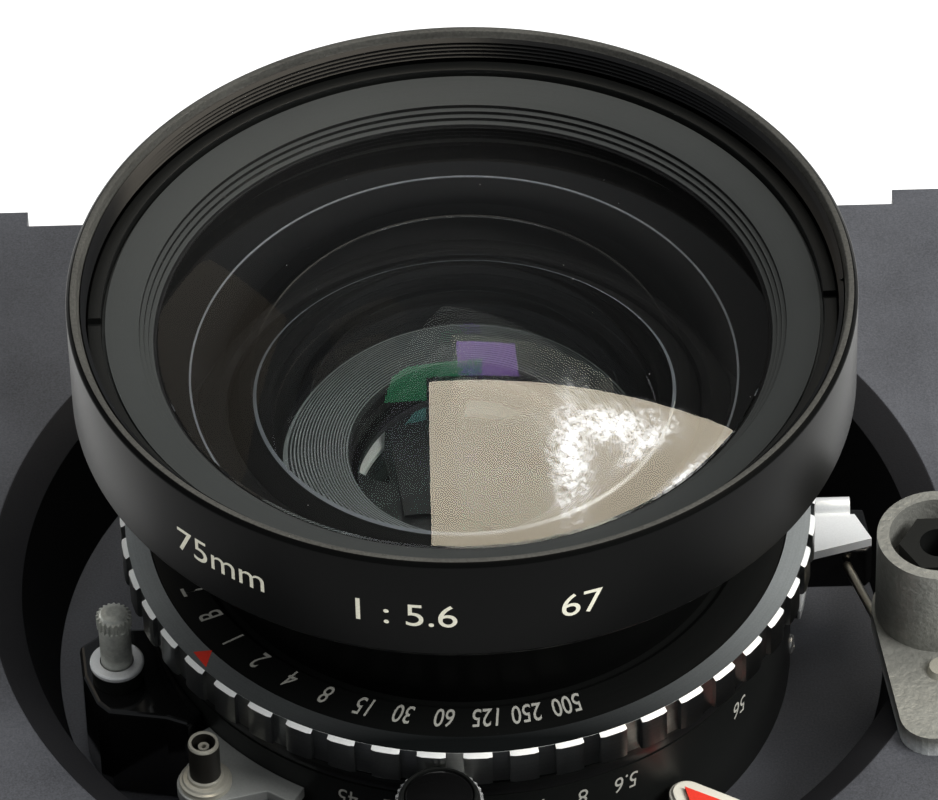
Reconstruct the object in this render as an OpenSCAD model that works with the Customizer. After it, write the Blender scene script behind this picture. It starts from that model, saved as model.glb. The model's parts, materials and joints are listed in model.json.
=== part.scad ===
// Wide-angle view-camera lens: a front and a rear cell screwed into a leaf shutter,
// which is clamped in a recessed lens board that carries a cable-release bracket.
// The optical axis is Z and the front of the lens faces +Z.
// The origin is on the axis, level with the rear cell's rim, which the lens stands on.

/* [Lens board] */
// Width of the board
board_w = 96; // [92:1:120]
// Height of the board, end ears included
board_h = 99; // [95:1:124]
// Sheet thickness of the board
board_t = 2; // [1.5:0.1:3]
// Depth of the recess, front face to floor
recess_depth = 11.4; // [8:0.2:12]
// Radius of the recess at the front face
recess_mouth_r = 43.8; // [42:0.2:45.5]
// Radius where the recess's bevel turns into its wall
recess_throat_r = 41; // [40.2:0.2:42]
// Radius of the recess floor
recess_floor_r = 38.1; // [37.6:0.1:39]
// Length of the two end ears along Y
ear_h = 2; // [1:0.25:3]
// Width of each ear
ear_w = 6.3; // [4:0.1:9]

/* [Shutter] */
// Radius of the shutter case
case_r = 29.5; // [28.5:0.1:31]
// Height of the shutter case above the recess floor
case_h = 11.7; // [11:0.1:13]
// Wall of the shutter case
case_wall = 1.5; // [1.2:0.1:2]
// Radius of the rear mounting tube, which passes through the board
tube_r = 16.25; // [15.6:0.05:17]
// Radius of the threads that hold the lens cells
cell_thread_r = 14.75; // [13.8:0.05:15]
// Radius of the shutter's clear opening
stop_r = 12; // [10:0.1:12.4]
// Play between parts that turn or slide on each other
play = 0.06; // [0.03:0.01:0.1]
// Air left between moving parts that pass each other
air = 0.1; // [0.08:0.01:0.2]

/* [Speed ring] */
// Outer radius of the speed ring
ring_r = 31.6; // [31.2:0.1:33]
// Height of the speed ring
ring_h = 3.8; // [3:0.1:5]
// Finger slots around the speed ring
ring_teeth = 48; // [36:1:60]
// Depth of a finger slot
tooth_depth = 0.55; // [0.3:0.05:0.8]
// Angle from one shutter speed to the next
speed_step = 7.85; // [6:0.05:8.5]

/* [Iris and shutter blades] */
// Thickness of one blade
blade_t = 0.15; // [0.1:0.01:0.2]
// Angle the aperture ring turns from wide open to its last stop
aperture_turn = 50; // [40:1:55]
// Angle an iris blade swings from wide open to its last stop
iris_swing = 40; // [30:1:42]
// Angle a shutter blade swings from closed to open
shutter_swing = 38; // [36:1:40]
// Angle the blade drive ring turns to open the shutter
drive_turn = 9; // [8:0.5:12]

/* [Front cell] */
// Outer radius of the front rim
rim_r = 35; // [34.4:0.1:37]
// Minor radius of the filter thread
filter_r = 33.1; // [32.8:0.1:33.5]
// Height of the rim above the speed ring's face
front_reach = 27.2; // [26:0.2:32]
// Free radius of the front glass
front_glass_r = 27.1; // [25:0.1:28]
// Radius of curvature of the front glass
front_curve = 85; // [70:1:120]
// Ribs on the light baffle
baffle_ribs = 18; // [8:1:24]

/* [Rear cell] */
// Outer radius of the rear cell's rim
rear_r = 30; // [27:0.5:33]
// Height of the rear cell behind the board
rear_reach = 30.5; // [28:0.5:38]
// Free radius of the rear glass
rear_glass_r = 24.5; // [22:0.1:25]

/* [Levers and release] */
// Distance of the cocking knob from the optical axis
knob_orbit = 35.8; // [35.6:0.1:37]
// Radius of the cocking knob
knob_r = 3.9; // [3:0.1:3.9]
// Angle the cocking lever swings
cocking_swing = 55; // [40:1:60]
// Radius of the release push rod
rod_r = 0.42; // [0.3:0.01:0.6]
// Travel of the push rod
rod_travel = 2.6; // [1.5:0.1:3]
// Travel of the preview button
button_travel = 2.4; // [1:0.1:2.6]
// Radius of the sync socket's barrel
sync_r = 1.4; // [1.2:0.05:1.75]
// Outer radius of the bracket's upright boss
boss_r = 5.6; // [5:0.1:5.8]

/* [Hidden] */
$fn = 96;
eps = 0.01;
cut = 0.5;

BLADES = 5;
iris_names = [for (i = [1 : BLADES]) str("iris_blade_", i)];
leaf_names = [for (i = [1 : BLADES]) str("shutter_blade_", i)];

// Levels along the optical axis, from the rear rim forward.
floor_back = rear_reach;
floor_z = floor_back + board_t;
board_z = floor_z + recess_depth;
board_back = board_z - board_t;
case_top = floor_z + case_h;
deck_z = case_top;
lever_t = 1;
spacer_t = 0.6;
release_z = deck_z + air;
spacer_low_z = release_z + lever_t + air;
cocking_z = spacer_low_z + spacer_t + air;
spacer_up_z = cocking_z + lever_t + air;
ring_z = spacer_up_z + spacer_t + air;
ring_top = ring_z + ring_h;
rim_z = ring_top + front_reach;

// Inside of the shutter case.
case_floor_t = 2.6;
chamber_r = case_r - case_wall;
cam_t = 0.8;
level = blade_t + 0.15;
iris_cam_z = floor_z + case_floor_t + 0.2;
iris_z = iris_cam_z + cam_t + 0.2;
plate_z = iris_z + BLADES * level + 0.15;
plate_t = 0.8;
leaf_z = plate_z + plate_t + 0.15;
leaf_cam_z = leaf_z + BLADES * level + 0.1;
deck_back = leaf_cam_z + cam_t + 0.2;
hub_r = 25;
hub_top = ring_top - 1.8;

// Blade outlines: each is a crescent that swings on its own pivot.
iris_in = stop_r + 0.3;
iris_out = iris_in + 5.7;
iris_pivot = iris_out + 1.7;
iris_span = 118;
leaf_in = stop_r + 0.4;
leaf_out = leaf_in + 8.8;
leaf_pivot = leaf_out + 2;
leaf_span = 108;
drive_arm = 3.2;
pin_r = 0.5;
slot_play = 0.1;

// Front cell.
thread_depth = 2.9;
lip_r = filter_r + 0.85;
trim_out = filter_r - 1.1;
trim_mid = trim_out - 3.3;
trim_z = rim_z - 3.4;
glass_edge_z = rim_z - 5.6;
glass_seat_r = front_glass_r + 4.2;
skirt_z = rim_z - 10.8;
skirt_r = rim_r - 1;
skirt_low = rim_z - 12;
stem_r = 24.5;
second_r = 21.5;
second_z = rim_z - 19.5;
second_edge = 4;
inner_ring_w = 1.6;
baffle_out = 17.8;
baffle_in = 12.4;
baffle_base = ring_top + 0.6;
baffle_low = baffle_base + 1;
baffle_top = baffle_low + 3.8;
doublet_r = baffle_in + 0.3;
doublet_z = hub_top - 4;

// Places of the small parts around the shutter, as angles about the axis.
speed_rest = -142.5;
pointer_at = -53;
knob_at = -95;
sync_at = -134.6;
sync_orbit = 34.2;
sync_plate_z = board_z - 2.3;
sync_plate_t = 1.2;
sync_h = 5.3;
button_x = -32;
button_y = -12.2;
block_z = board_z - 1;
button_r = 1.45;
button_top = block_z + 8.4;
pad_z = case_top - 4.6;
rod_z = board_z - 1;
rod_tip = [34.5, -0.12];
rod_angle = 108.2;
rod_len = 11.2;
boss_at = [42.2, -9.3];
boss_top = board_z + 11.5;
bracket_t = 2.2;
screw_at = [42.1, -17.2];

module at_level(z) { translate([0, 0, z]) children(); }
module around(angle) { rotate([0, 0, angle]) children(); }

// A flat ring that lies on z.
module washer(r_out, r_in, t, z = 0) {
    at_level(z) difference() {
        cylinder(r = r_out, h = t);
        at_level(-cut) cylinder(r = r_in, h = t + 2 * cut);
    }
}

// A wedge of the plane from angle a to angle b, wide enough to cut anything here.
module wedge(a, b, reach = 80) {
    steps = 6;
    polygon(concat([[0, 0]], [for (i = [0 : steps])
        reach * [cos(a + (b - a) * i / steps), sin(a + (b - a) * i / steps)]]));
}

// A piece of a flat ring between two angles, drawn in the plane.
module arc_band(r_in, r_out, a, b) {
    intersection() {
        difference() { circle(r = r_out); circle(r = r_in); }
        wedge(a, b);
    }
}

// A wheel outline with straight-sided teeth, drawn in the plane.
module serrated(r, teeth, depth) {
    polygon([for (i = [0 : 2 * teeth - 1])
        (i % 2 == 0 ? r : r - depth) * [cos(180 * i / teeth), sin(180 * i / teeth)]]);
}

// ---------------------------------------------------------------- lens board

module board_outline() {
    union() {
        translate([-board_w / 2, -board_h / 2]) square([board_w, board_h - ear_h]);
        for (side = [-1, 1])
            translate([side > 0 ? board_w / 2 - ear_w : -board_w / 2, 0])
                square([ear_w, board_h / 2]);
    }
}

module recess_form(grow, low) {
    step = (recess_mouth_r - recess_throat_r) * 0.5;
    rotate_extrude() polygon([
        [0, low], [recess_floor_r + grow, low], [recess_throat_r + grow, board_z - step],
        [recess_mouth_r + grow, board_z], [recess_mouth_r + grow, board_z + cut],
        [0, board_z + cut]]);
}

module lens_board() {
    corner = 1.6;
    color([0.33, 0.33, 0.36]) difference() {
        union() {
            at_level(board_back) linear_extrude(board_t) difference() {
                board_outline();
                for (x = [-1, 1], y = [-1, 1])
                    translate([x * board_w / 2, y * board_h / 2]) rotate(45)
                        square(corner * sqrt(2), center = true);
            }
            intersection() {
                recess_form(board_t * 0.8, floor_back);
                cylinder(r = recess_mouth_r + board_t, h = board_z);
            }
        }
        recess_form(0, floor_z);
        at_level(floor_back - cut) cylinder(r = tube_r + 0.5, h = board_t + 2 * cut);
    }
}

module jam_ring() {
    t = 3;
    slot_w = 2;
    color([0.12, 0.12, 0.13]) difference() {
        washer(tube_r + 4.2, tube_r, t, floor_back - t);
        for (a = [0, 180]) around(a)
            translate([tube_r + 2.4, -slot_w / 2, floor_back - t - cut])
                cube([4, slot_w, t * 0.5 + cut]);
    }
}

// -------------------------------------------------------------- shutter body

module shutter_case() {
    slot_low = iris_cam_z - 0.1;
    slot_high = iris_cam_z + cam_t + 0.1;
    tube_low = floor_back - 4.4;
    color([0.08, 0.08, 0.085]) difference() {
        union() {
            at_level(floor_z) cylinder(r = case_r, h = case_h);
            at_level(tube_low) cylinder(r = tube_r, h = floor_z - tube_low + eps);
        }
        at_level(floor_z + case_floor_t) cylinder(r = chamber_r, h = case_h);
        at_level(tube_low - cut) cylinder(r = cell_thread_r, h = 6.4 + cut);
        at_level(tube_low - cut) cylinder(r = stop_r + 0.2, h = case_h);
        at_level(slot_low) linear_extrude(slot_high - slot_low)
            arc_band(chamber_r - 1, case_r + 1, pointer_at - aperture_turn - 5,
                pointer_at + 5);
    }
}

module blade_plate() {
    color([0.5, 0.5, 0.52]) at_level(plate_z) linear_extrude(plate_t) difference() {
        circle(r = chamber_r);
        circle(r = stop_r + 0.1);
        for (i = [0 : BLADES - 1]) rotate(i * 360 / BLADES) {
            translate([iris_pivot, 0]) circle(r = pin_r + play, $fn = 32);
            rotate(36) translate([leaf_pivot, 0]) circle(r = pin_r + play, $fn = 32);
        }
    }
}

module front_deck() {
    color([0.1, 0.1, 0.105]) difference() {
        union() {
            at_level(deck_back) cylinder(r = chamber_r, h = deck_z - deck_back);
            at_level(deck_z - eps) cylinder(r = hub_r, h = hub_top - deck_z + eps);
        }
        at_level(deck_back - cut) cylinder(r = stop_r + 0.2, h = 40);
        at_level(hub_top - 6.4) cylinder(r = cell_thread_r, h = 20);
    }
}

module lever_spacer_lower() {
    color([0.07, 0.07, 0.075]) washer(case_r, hub_r, spacer_t, spacer_low_z);
}

module lever_spacer_upper() {
    color([0.07, 0.07, 0.075]) washer(case_r, hub_r, spacer_t, spacer_up_z);
}

module numeral_plate() {
    edge = ring_r - 2.5;
    top = ring_top - 0.2;
    color([0.07, 0.07, 0.075]) rotate_extrude() polygon([
        [cell_thread_r + 0.3, hub_top], [edge, hub_top], [edge, top - 0.25],
        [edge - 0.25, top], [stem_r + 1, top], [stem_r + 0.6, top - 0.3],
        [cell_thread_r + 0.3, top - 0.3]]);
}

module speed_ring() {
    band_in = ring_r - 2.4;
    flange_t = hub_top - ring_z - 2 * air;
    chamfer = 0.7;
    slot_w = 2 * PI * ring_r / ring_teeth * 0.46;
    first_slot = -3.1;
    color([0.52, 0.54, 0.55]) difference() {
        rotate_extrude() polygon([
            [hub_r + play, ring_z], [ring_r - 0.25, ring_z], [ring_r, ring_z + 0.25],
            [ring_r, ring_top - chamfer], [ring_r - chamfer, ring_top],
            [band_in, ring_top], [band_in, ring_z + flange_t],
            [hub_r + play, ring_z + flange_t]]);
        for (i = [0 : ring_teeth - 1]) around(first_slot + i * 360 / ring_teeth)
            translate([ring_r - tooth_depth, -slot_w / 2, ring_z - cut])
                cube([2, slot_w, ring_h + 2 * cut]);
    }
}

// --------------------------------------------------- blades and their rings

// Where a blade's drive pin stands, in the frame of the blade's pivot line, once the
// blade has turned by swing degrees. The pin trails the pivot by drive_arm.
function drive_point(pivot, swing, lead) =
    [pivot, 0] + drive_arm * [cos(lead + swing), sin(lead + swing)];
function turned(p, a) = [p[0] * cos(a) - p[1] * sin(a), p[0] * sin(a) + p[1] * cos(a)];
function unit(v) = v / norm(v);

// The path that a drive pin follows on its ring while the ring turns by ring_turn
// and the blade by swing, as a list of points.
PATH = 12;
function pin_path(pivot, lead, start, swing, ring_turn) =
    [for (i = [0 : PATH]) turned(drive_point(pivot, start + swing * i / PATH, lead),
        -ring_turn * i / PATH)];

// A slot of half-width w along a path, with round ends.
module path_slot(path, w) {
    last = len(path) - 1;
    along = [for (i = [0 : last]) unit(path[min(i + 1, last)] - path[max(i - 1, 0)])];
    left = [for (i = [0 : last]) path[i] + w * [-along[i][1], along[i][0]]];
    right = [for (i = [last : -1 : 0]) path[i] - w * [-along[i][1], along[i][0]]];
    polygon(concat(left, right));
    for (end = [path[0], path[last]]) translate(end) circle(r = w + 0.02, $fn = 32);
}

module cam_ring(r_in, r_out, pivot, lead, start, swing, ring_turn, offset_angle) {
    difference() {
        circle(r = r_out);
        circle(r = r_in);
        for (i = [0 : BLADES - 1]) rotate(offset_angle + i * 360 / BLADES)
            path_slot(pin_path(pivot, lead, start, swing, ring_turn), pin_r + slot_play);
    }
}

// A crescent blade in its open place, with its pivot on the X axis.
module blade_outline(r_in, r_out, span, pivot, lead) {
    tail = -10;
    root = 1.5;
    arc_band(r_in, r_out, tail, span + tail);
    translate([pivot, 0]) circle(r = root, $fn = 48);
    translate([r_out - 1, -root]) square([pivot - r_out + 1, 2 * root]);
    translate(drive_point(pivot, 0, lead)) circle(r = 1.1, $fn = 48);
    translate([pivot, 0]) rotate(lead) translate([0, -1.1]) square([drive_arm, 2.2]);
}

IRIS_LEAD = -90;
LEAF_LEAD = -60;

module iris_blade(i) {
    low = iris_z + i * level;
    color([0.16, 0.16, 0.17]) around(i * 360 / BLADES) {
        at_level(low) linear_extrude(blade_t)
            blade_outline(iris_in, iris_out, iris_span, iris_pivot, IRIS_LEAD);
        translate([iris_pivot, 0, low]) cylinder(r = pin_r, h = plate_z + plate_t - low, $fn = 32);
        translate(concat(drive_point(iris_pivot, 0, IRIS_LEAD), iris_cam_z))
            cylinder(r = pin_r, h = low - iris_cam_z + eps, $fn = 32);
    }
}

module shutter_blade(i) {
    low = leaf_z + i * level;
    color([0.13, 0.13, 0.14]) around(36 + i * 360 / BLADES)
        translate([leaf_pivot, 0, 0]) rotate([0, 0, shutter_swing]) translate([-leaf_pivot, 0, 0]) {
            at_level(low) linear_extrude(blade_t)
                blade_outline(leaf_in, leaf_out, leaf_span, leaf_pivot, LEAF_LEAD);
            translate([leaf_pivot, 0, plate_z])
                cylinder(r = pin_r, h = low - plate_z + eps, $fn = 32);
            translate(concat(drive_point(leaf_pivot, 0, LEAF_LEAD), low))
                cylinder(r = pin_r, h = leaf_cam_z + cam_t - low, $fn = 32);
        }
}

module blade_drive_ring() {
    color([0.6, 0.6, 0.62]) at_level(leaf_cam_z) linear_extrude(cam_t)
        cam_ring(stop_r + 1.5, chamber_r - play, leaf_pivot, LEAF_LEAD, shutter_swing,
            -shutter_swing, drive_turn, 36);
}

module aperture_ring() {
    arm_w = 4.4;
    color([0.6, 0.6, 0.62]) {
        at_level(iris_cam_z) linear_extrude(cam_t) {
            cam_ring(stop_r + 1.5, chamber_r - play, iris_pivot, IRIS_LEAD, 0, iris_swing,
                -aperture_turn, 0);
            rotate(pointer_at) translate([chamber_r - 0.6, -arm_w / 2])
                square([case_r + 2 - chamber_r, arm_w]);
        }
        around(pointer_at) translate([case_r + 0.9, 0.4 - arm_w / 2, iris_cam_z + cam_t / 2])
            cube([0.9, arm_w - 0.8, pointer_z - iris_cam_z - cam_t / 2]);
    }
}

// ------------------------------------------------- levers around the shutter

POINTER_LEN = 7;
POINTER_W = 6.6;
pointer_z = iris_cam_z + 3;

module pointer_outline(inset) {
    tip = 1.6;
    rotate(pointer_at) translate([case_r + 0.4, 0]) hull() {
        translate([tip, 0]) circle(r = tip - inset, $fn = 32);
        for (side = [-1, 1])
            translate([POINTER_LEN - 1.4, side * (POINTER_W / 2 - 1.4)])
                circle(r = 1.4 - inset, $fn = 32);
    }
}

module aperture_pointer() {
    color([0.86, 0.85, 0.78]) {
        at_level(pointer_z) linear_extrude(1.1) pointer_outline(0);
        at_level(pointer_z + 1.1 - eps) linear_extrude(0.3 + eps) pointer_outline(0.3);
    }
}

module pointer_arrow() {
    color([0.72, 0.16, 0.13]) at_level(pointer_z + 1.4) linear_extrude(0.35)
        rotate(pointer_at) translate([case_r + 1.7, 0])
            polygon([[0, 0], [4.3, 1.9], [4.3, -1.9]]);
}

module cocking_lever() {
    arm_w = 4;
    color([0.75, 0.76, 0.78]) at_level(cocking_z) linear_extrude(lever_t) union() {
        difference() { circle(r = case_r - 0.1); circle(r = hub_r + play); }
        rotate(knob_at) {
            translate([hub_r + 2, -arm_w / 2]) square([knob_orbit - hub_r - 2, arm_w]);
            translate([knob_orbit, 0]) circle(r = 3, $fn = 48);
        }
    }
}

module cocking_knob() {
    low = cocking_z + lever_t;
    skirt_h = ring_top - 1 - low;
    color([0.85, 0.86, 0.88]) around(knob_at) translate([knob_orbit, 0, low]) difference() {
        union() {
            linear_extrude(skirt_h) serrated(knob_r, 34, 0.3);
            at_level(skirt_h) cylinder(r1 = knob_r - 0.35, r2 = knob_r - 0.6, h = 0.6);
        }
        at_level(skirt_h - 1.2) cylinder(r = knob_r - 0.8, h = 3);
    }
}

module cocking_knob_cap() {
    r = knob_r - 0.8;
    dome = 9;
    low = ring_top - 2.2;
    rise = 1.8;
    color([0.05, 0.05, 0.055]) around(knob_at) translate([knob_orbit, 0, low])
        intersection() {
            cylinder(r = r, h = rise + 1);
            at_level(rise + 0.4 - dome) sphere(r = dome);
        }
}

FLAG_LEN = 7.4;
module release_lever() {
    curl_r = 0.9;
    flag_low = -1;
    flag_high = 3.8;
    reach = case_r + FLAG_LEN;
    color([0.82, 0.83, 0.85]) {
        at_level(release_z) linear_extrude(lever_t) union() {
            difference() { circle(r = case_r - 0.1); circle(r = hub_r + play); }
            arc_band(hub_r + 1, case_r + 1.6, -16, 9);
            polygon([[hub_r + 2, flag_low - 2], [case_r + 2, flag_low], [reach, flag_low + 1.6],
                [reach - 1.4, flag_high], [hub_r + 2, flag_high]]);
            translate([reach - 5.4, flag_high - eps]) square([3.6, 0.8]);
        }
        translate([reach - 5.4, flag_high + 1.1, release_z + curl_r]) rotate([0, 90, 0])
            cylinder(r = curl_r, h = 3.6, $fn = 32);
    }
}

module release_pad() {
    color([0.06, 0.06, 0.065]) at_level(pad_z) linear_extrude(release_z - pad_z)
        difference() {
            polygon([[case_r - 1, 0], [36.4, 0], [37, 0.8], [36.4, 5.4], [case_r - 1, 6]]);
            circle(r = case_r + 0.4);
        }
}

// The push rod runs level from the bracket to the release pad.
module along_rod() {
    translate([rod_tip[0], rod_tip[1], rod_z]) rotate([0, 0, rod_angle]) rotate([0, -90, 0])
        children();
}

module push_rod() {
    color([0.72, 0.7, 0.64]) along_rod() {
        at_level(rod_r) cylinder(r = rod_r, h = rod_len - rod_r, $fn = 32);
        at_level(rod_r) sphere(r = rod_r, $fn = 32);
    }
}

// ------------------------------------------ preview button and sync terminal

module preview_block() {
    color([0.06, 0.06, 0.065]) difference() {
        at_level(floor_z) linear_extrude(block_z - floor_z) difference() {
            polygon([[-33.9, -15.4], [-32.8, -16.6], [-27.6, -17.5], [-25.6, -18.4],
                [-22, -14], [-26, -6], [-33, -6], [-35.6, -8.2], [-35.2, -12]]);
            circle(r = case_r);
        }
        translate([button_x, button_y, floor_z + 2]) cylinder(r = button_r + play, h = 20);
    }
}

module preview_bush() {
    color([0.8, 0.81, 0.83]) translate([button_x, button_y, block_z]) difference() {
        rotate_extrude() polygon([[0, 0], [2.3, 0], [2.3, 1.5], [2.45, 1.6], [2.45, 2],
            [2.2, 2.2], [0, 2.2]]);
        at_level(-cut) cylinder(r = button_r + play, h = 5);
    }
}

module preview_button() {
    low = block_z - 5;
    head = 1.7;
    color([0.8, 0.81, 0.82]) translate([button_x, button_y, 0]) {
        at_level(low) cylinder(r = button_r, h = button_top - head - low + eps);
        at_level(button_top - head) intersection() {
            linear_extrude(head) serrated(1.6, 20, 0.2);
            at_level(head - 3.2) sphere(r = 3.2);
        }
    }
}

module sync_spot() {
    around(sync_at) translate([sync_orbit, 0, 0]) children();
}

// The plate follows the case and widens to a round tab under the socket.
module sync_outline(inset) {
    band = 2.1;
    tab_r = 2.6;
    difference() {
        union() {
            arc_band(case_r, case_r + band - inset, sync_at - 9 + inset, sync_at + 13.6 - inset);
            hull() {
                rotate(sync_at) translate([sync_orbit, 0]) circle(r = tab_r - inset, $fn = 32);
                for (side = [-5, 8]) rotate(sync_at + side)
                    translate([case_r + 1, 0]) circle(r = 1 - inset, $fn = 32);
            }
        }
        circle(r = case_r);
    }
}

module sync_block() {
    color([0.06, 0.06, 0.065]) at_level(floor_z)
        linear_extrude(sync_plate_z - sync_plate_t - floor_z) sync_outline(0.25);
}

module sync_plate() {
    color([0.62, 0.62, 0.6]) at_level(sync_plate_z - sync_plate_t)
        linear_extrude(sync_plate_t) sync_outline(0);
}

module sync_socket() {
    wall = 0.35;
    color([0.84, 0.84, 0.82]) sync_spot() at_level(sync_plate_z) difference() {
        rotate_extrude() polygon([[0, 0], [2.35, 0], [2.35, 0.5], [2, 0.8], [sync_r, 1],
            [sync_r, sync_h - 0.3], [sync_r - 0.1, sync_h], [0, sync_h]]);
        at_level(0.6) cylinder(r = sync_r - wall, h = sync_h);
    }
}

module sync_insulator() {
    color([0.75, 0.72, 0.62]) sync_spot() at_level(sync_plate_z + 0.6) difference() {
        cylinder(r = sync_r - 0.35, h = 2.2);
        at_level(-cut) cylinder(r = 0.5, h = 4);
    }
}

module sync_contact() {
    color([0.8, 0.7, 0.45]) sync_spot() at_level(sync_plate_z + 0.6) difference() {
        cylinder(r = 0.5, h = sync_h - 1.2, $fn = 32);
        at_level(2.4) cylinder(r = 0.25, h = 4, $fn = 24);
    }
}

// ---------------------------------------------------------------- front cell

// A lens element: a round disc of radius r whose edge starts at low, cut to a sphere in
// front and to another behind. A curve above zero bulges forward, one below zero bulges
// back, and the heights are those of the two surfaces on the axis.
module element(r, low, front_at, front_curve, back_at, back_curve) {
    difference() {
        intersection() {
            at_level(low) cylinder(r = r, h = 40);
            at_level(front_at - front_curve) sphere(r = front_curve, $fn = 128);
            if (back_curve < 0) at_level(back_at - back_curve) sphere(r = -back_curve, $fn = 128);
        }
        if (back_curve > 0) at_level(back_at - back_curve) sphere(r = back_curve, $fn = 128);
    }
}

function sag(curve, r) = curve - sqrt(curve * curve - r * r);
front_top = glass_edge_z + sag(front_curve, front_glass_r);
front_back_curve = 27;
front_glass_low_r = 23.6;
front_thick = 3;
front_low = front_top - front_thick - sag(front_back_curve, 21);
second_curve = 42;
second_top = second_z + second_edge + sag(second_curve, second_r);
second_low = second_z + second_edge - 1.5;

module front_glass() {
    color([0.5, 0.58, 0.56, 0.5]) difference() {
        intersection() {
            at_level(front_top - front_curve) sphere(r = front_curve, $fn = 128);
            rotate_extrude() polygon([[0, front_low], [front_glass_low_r, front_low],
                [glass_seat_r - 2, skirt_low + 1.2], [glass_seat_r, skirt_low + 2.6],
                [glass_seat_r, glass_edge_z - 0.4], [front_glass_r, glass_edge_z - 0.4],
                [front_glass_r, rim_z], [0, rim_z]]);
        }
        at_level(front_top - front_thick - front_back_curve)
            sphere(r = front_back_curve, $fn = 128);
    }
}

module front_barrel() {
    wall = 1.4;
    seat_z = skirt_low + 2.6;
    color([0.14, 0.14, 0.15]) rotate_extrude() polygon([
        [rim_r - 0.35, rim_z], [rim_r, rim_z - 0.35], [rim_r, skirt_z], [skirt_r, skirt_low],
        [skirt_r - 1.6, skirt_low - 0.5], [stem_r + 3.4, skirt_low - 6.2],
        [stem_r, skirt_low - 9], [stem_r, ring_top - 0.5], [cell_thread_r, ring_top - 0.5],
        [cell_thread_r, hub_top - 6], [doublet_r - 1, hub_top - 6],
        [doublet_r - 1, doublet_z], [doublet_r, doublet_z], [doublet_r, baffle_base],
        [baffle_out, baffle_base], [baffle_out, baffle_top], [baffle_out + 1.2, baffle_top],
        [baffle_out + 1.2, second_z], [second_r, second_z], [second_r, second_low],
        [second_r + inner_ring_w, second_low], [second_r + inner_ring_w, front_low],
        [front_glass_low_r, front_low],
        [glass_seat_r - 2, skirt_low + 1.2], [glass_seat_r, seat_z],
        [glass_seat_r, glass_edge_z - 0.4], [trim_out, glass_edge_z - 0.4],
        [trim_out, trim_z - 0.6], [filter_r, trim_z - 0.6], [filter_r, rim_z - 0.5],
        [lip_r, rim_z - 0.25], [lip_r + 0.2, rim_z]]);
}

module front_retaining_ring() {
    slot_w = 1.6;
    top = rim_z - thread_depth;
    color([0.2, 0.2, 0.21]) difference() {
        washer(filter_r, trim_out, top - trim_z + 0.6, trim_z - 0.6);
        for (a = [0, 180]) around(a) translate([trim_out - 1, -slot_w / 2, top - 0.6])
            cube([4, slot_w, 2]);
    }
}

module front_trim_ring() {
    steps = 4;
    step_w = (trim_mid - front_glass_r) / steps;
    step_h = 0.2;
    slope_low = trim_z - 1.4;
    color([0.3, 0.31, 0.31]) rotate_extrude() polygon(concat(
        [[front_glass_r, glass_edge_z - 0.4], [trim_out, glass_edge_z - 0.4],
            [trim_out, trim_z], [trim_mid, slope_low]],
        [for (i = [0 : steps - 1], part = [0, 1])
            [trim_mid - step_w * (i + part), slope_low - step_h * (i + 1)]]));
}

module second_glass() {
    color([0.5, 0.55, 0.52, 0.5])
        element(second_r, second_z, second_top, second_curve, second_top - 3, 24);
}

module inner_retaining_ring() {
    lip = 0.5;
    top = front_low - 0.1;
    color([0.45, 0.46, 0.46]) rotate_extrude() polygon([
        [second_r, second_low], [second_r + inner_ring_w, second_low],
        [second_r + inner_ring_w, top], [second_r + lip, top], [second_r, top - lip]]);
}

module light_baffle() {
    run = (baffle_out - baffle_in) / baffle_ribs;
    drop = (baffle_top - baffle_low) / baffle_ribs;
    groove = 0.16;
    color([0.35, 0.36, 0.36]) rotate_extrude() polygon(concat(
        [[baffle_in, baffle_base], [baffle_out, baffle_base], [baffle_out, baffle_top]],
        [for (i = [1 : baffle_ribs], part = [0, 1])
            [baffle_out - run * (i - 0.5 * (1 - part)), baffle_top - drop * i + groove * part]]));
}

module front_doublet() {
    color([0.4, 0.5, 0.46, 0.6])
        element(doublet_r, doublet_z, baffle_base - 0.1, 46, doublet_z, 0);
}

// ----------------------------------------------------------------- rear cell

stub_low = floor_back - 4.6;
stub_top = stub_low + 6.2;
inner_seat = stub_top - 4;
inner_low = inner_seat - 6;
inner_ring_t = 1.5;
rear_seat = 8;
rear_edge = 3.6;
rear_mount_r = rear_glass_r + 1.6;
rear_curve = 110;
rear_hollow = 75;

module rear_barrel() {
    flare_z = 13;
    neck_r = 19;
    color([0.1, 0.1, 0.105]) rotate_extrude() polygon([
        [rear_r - 0.4, 0], [rear_r, 0.4], [rear_r, flare_z - 2], [rear_r - 0.8, flare_z - 1.2],
        [rear_r - 0.8, flare_z], [rear_r - 4, flare_z + 4], [neck_r + 2, inner_low - 1.5],
        [neck_r, inner_low], [neck_r, stub_low], [cell_thread_r, stub_low],
        [cell_thread_r, stub_top], [doublet_r - 1, stub_top], [doublet_r - 1, inner_seat],
        [doublet_r, inner_seat], [doublet_r, inner_low],
        [doublet_r + 0.8, inner_low], [doublet_r + 0.8, inner_low - inner_ring_t],
        [rear_mount_r - 5, flare_z], [rear_mount_r - 2, rear_seat],
        [rear_mount_r, rear_seat], [rear_mount_r, rear_edge],
        [rear_r - 2, rear_edge], [rear_r - 2, 0.4], [rear_r - 1.6, 0]]);
}

module rear_doublet() {
    curve = 46;
    color([0.4, 0.48, 0.46, 0.6]) intersection() {
        at_level(inner_low) cylinder(r = doublet_r, h = inner_seat - inner_low);
        at_level(inner_low + curve) sphere(r = curve, $fn = 128);
    }
}

module rear_inner_ring() {
    color([0.1, 0.1, 0.105])
        washer(doublet_r + 0.8, doublet_r - 0.9, inner_ring_t, inner_low - inner_ring_t);
}

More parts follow.
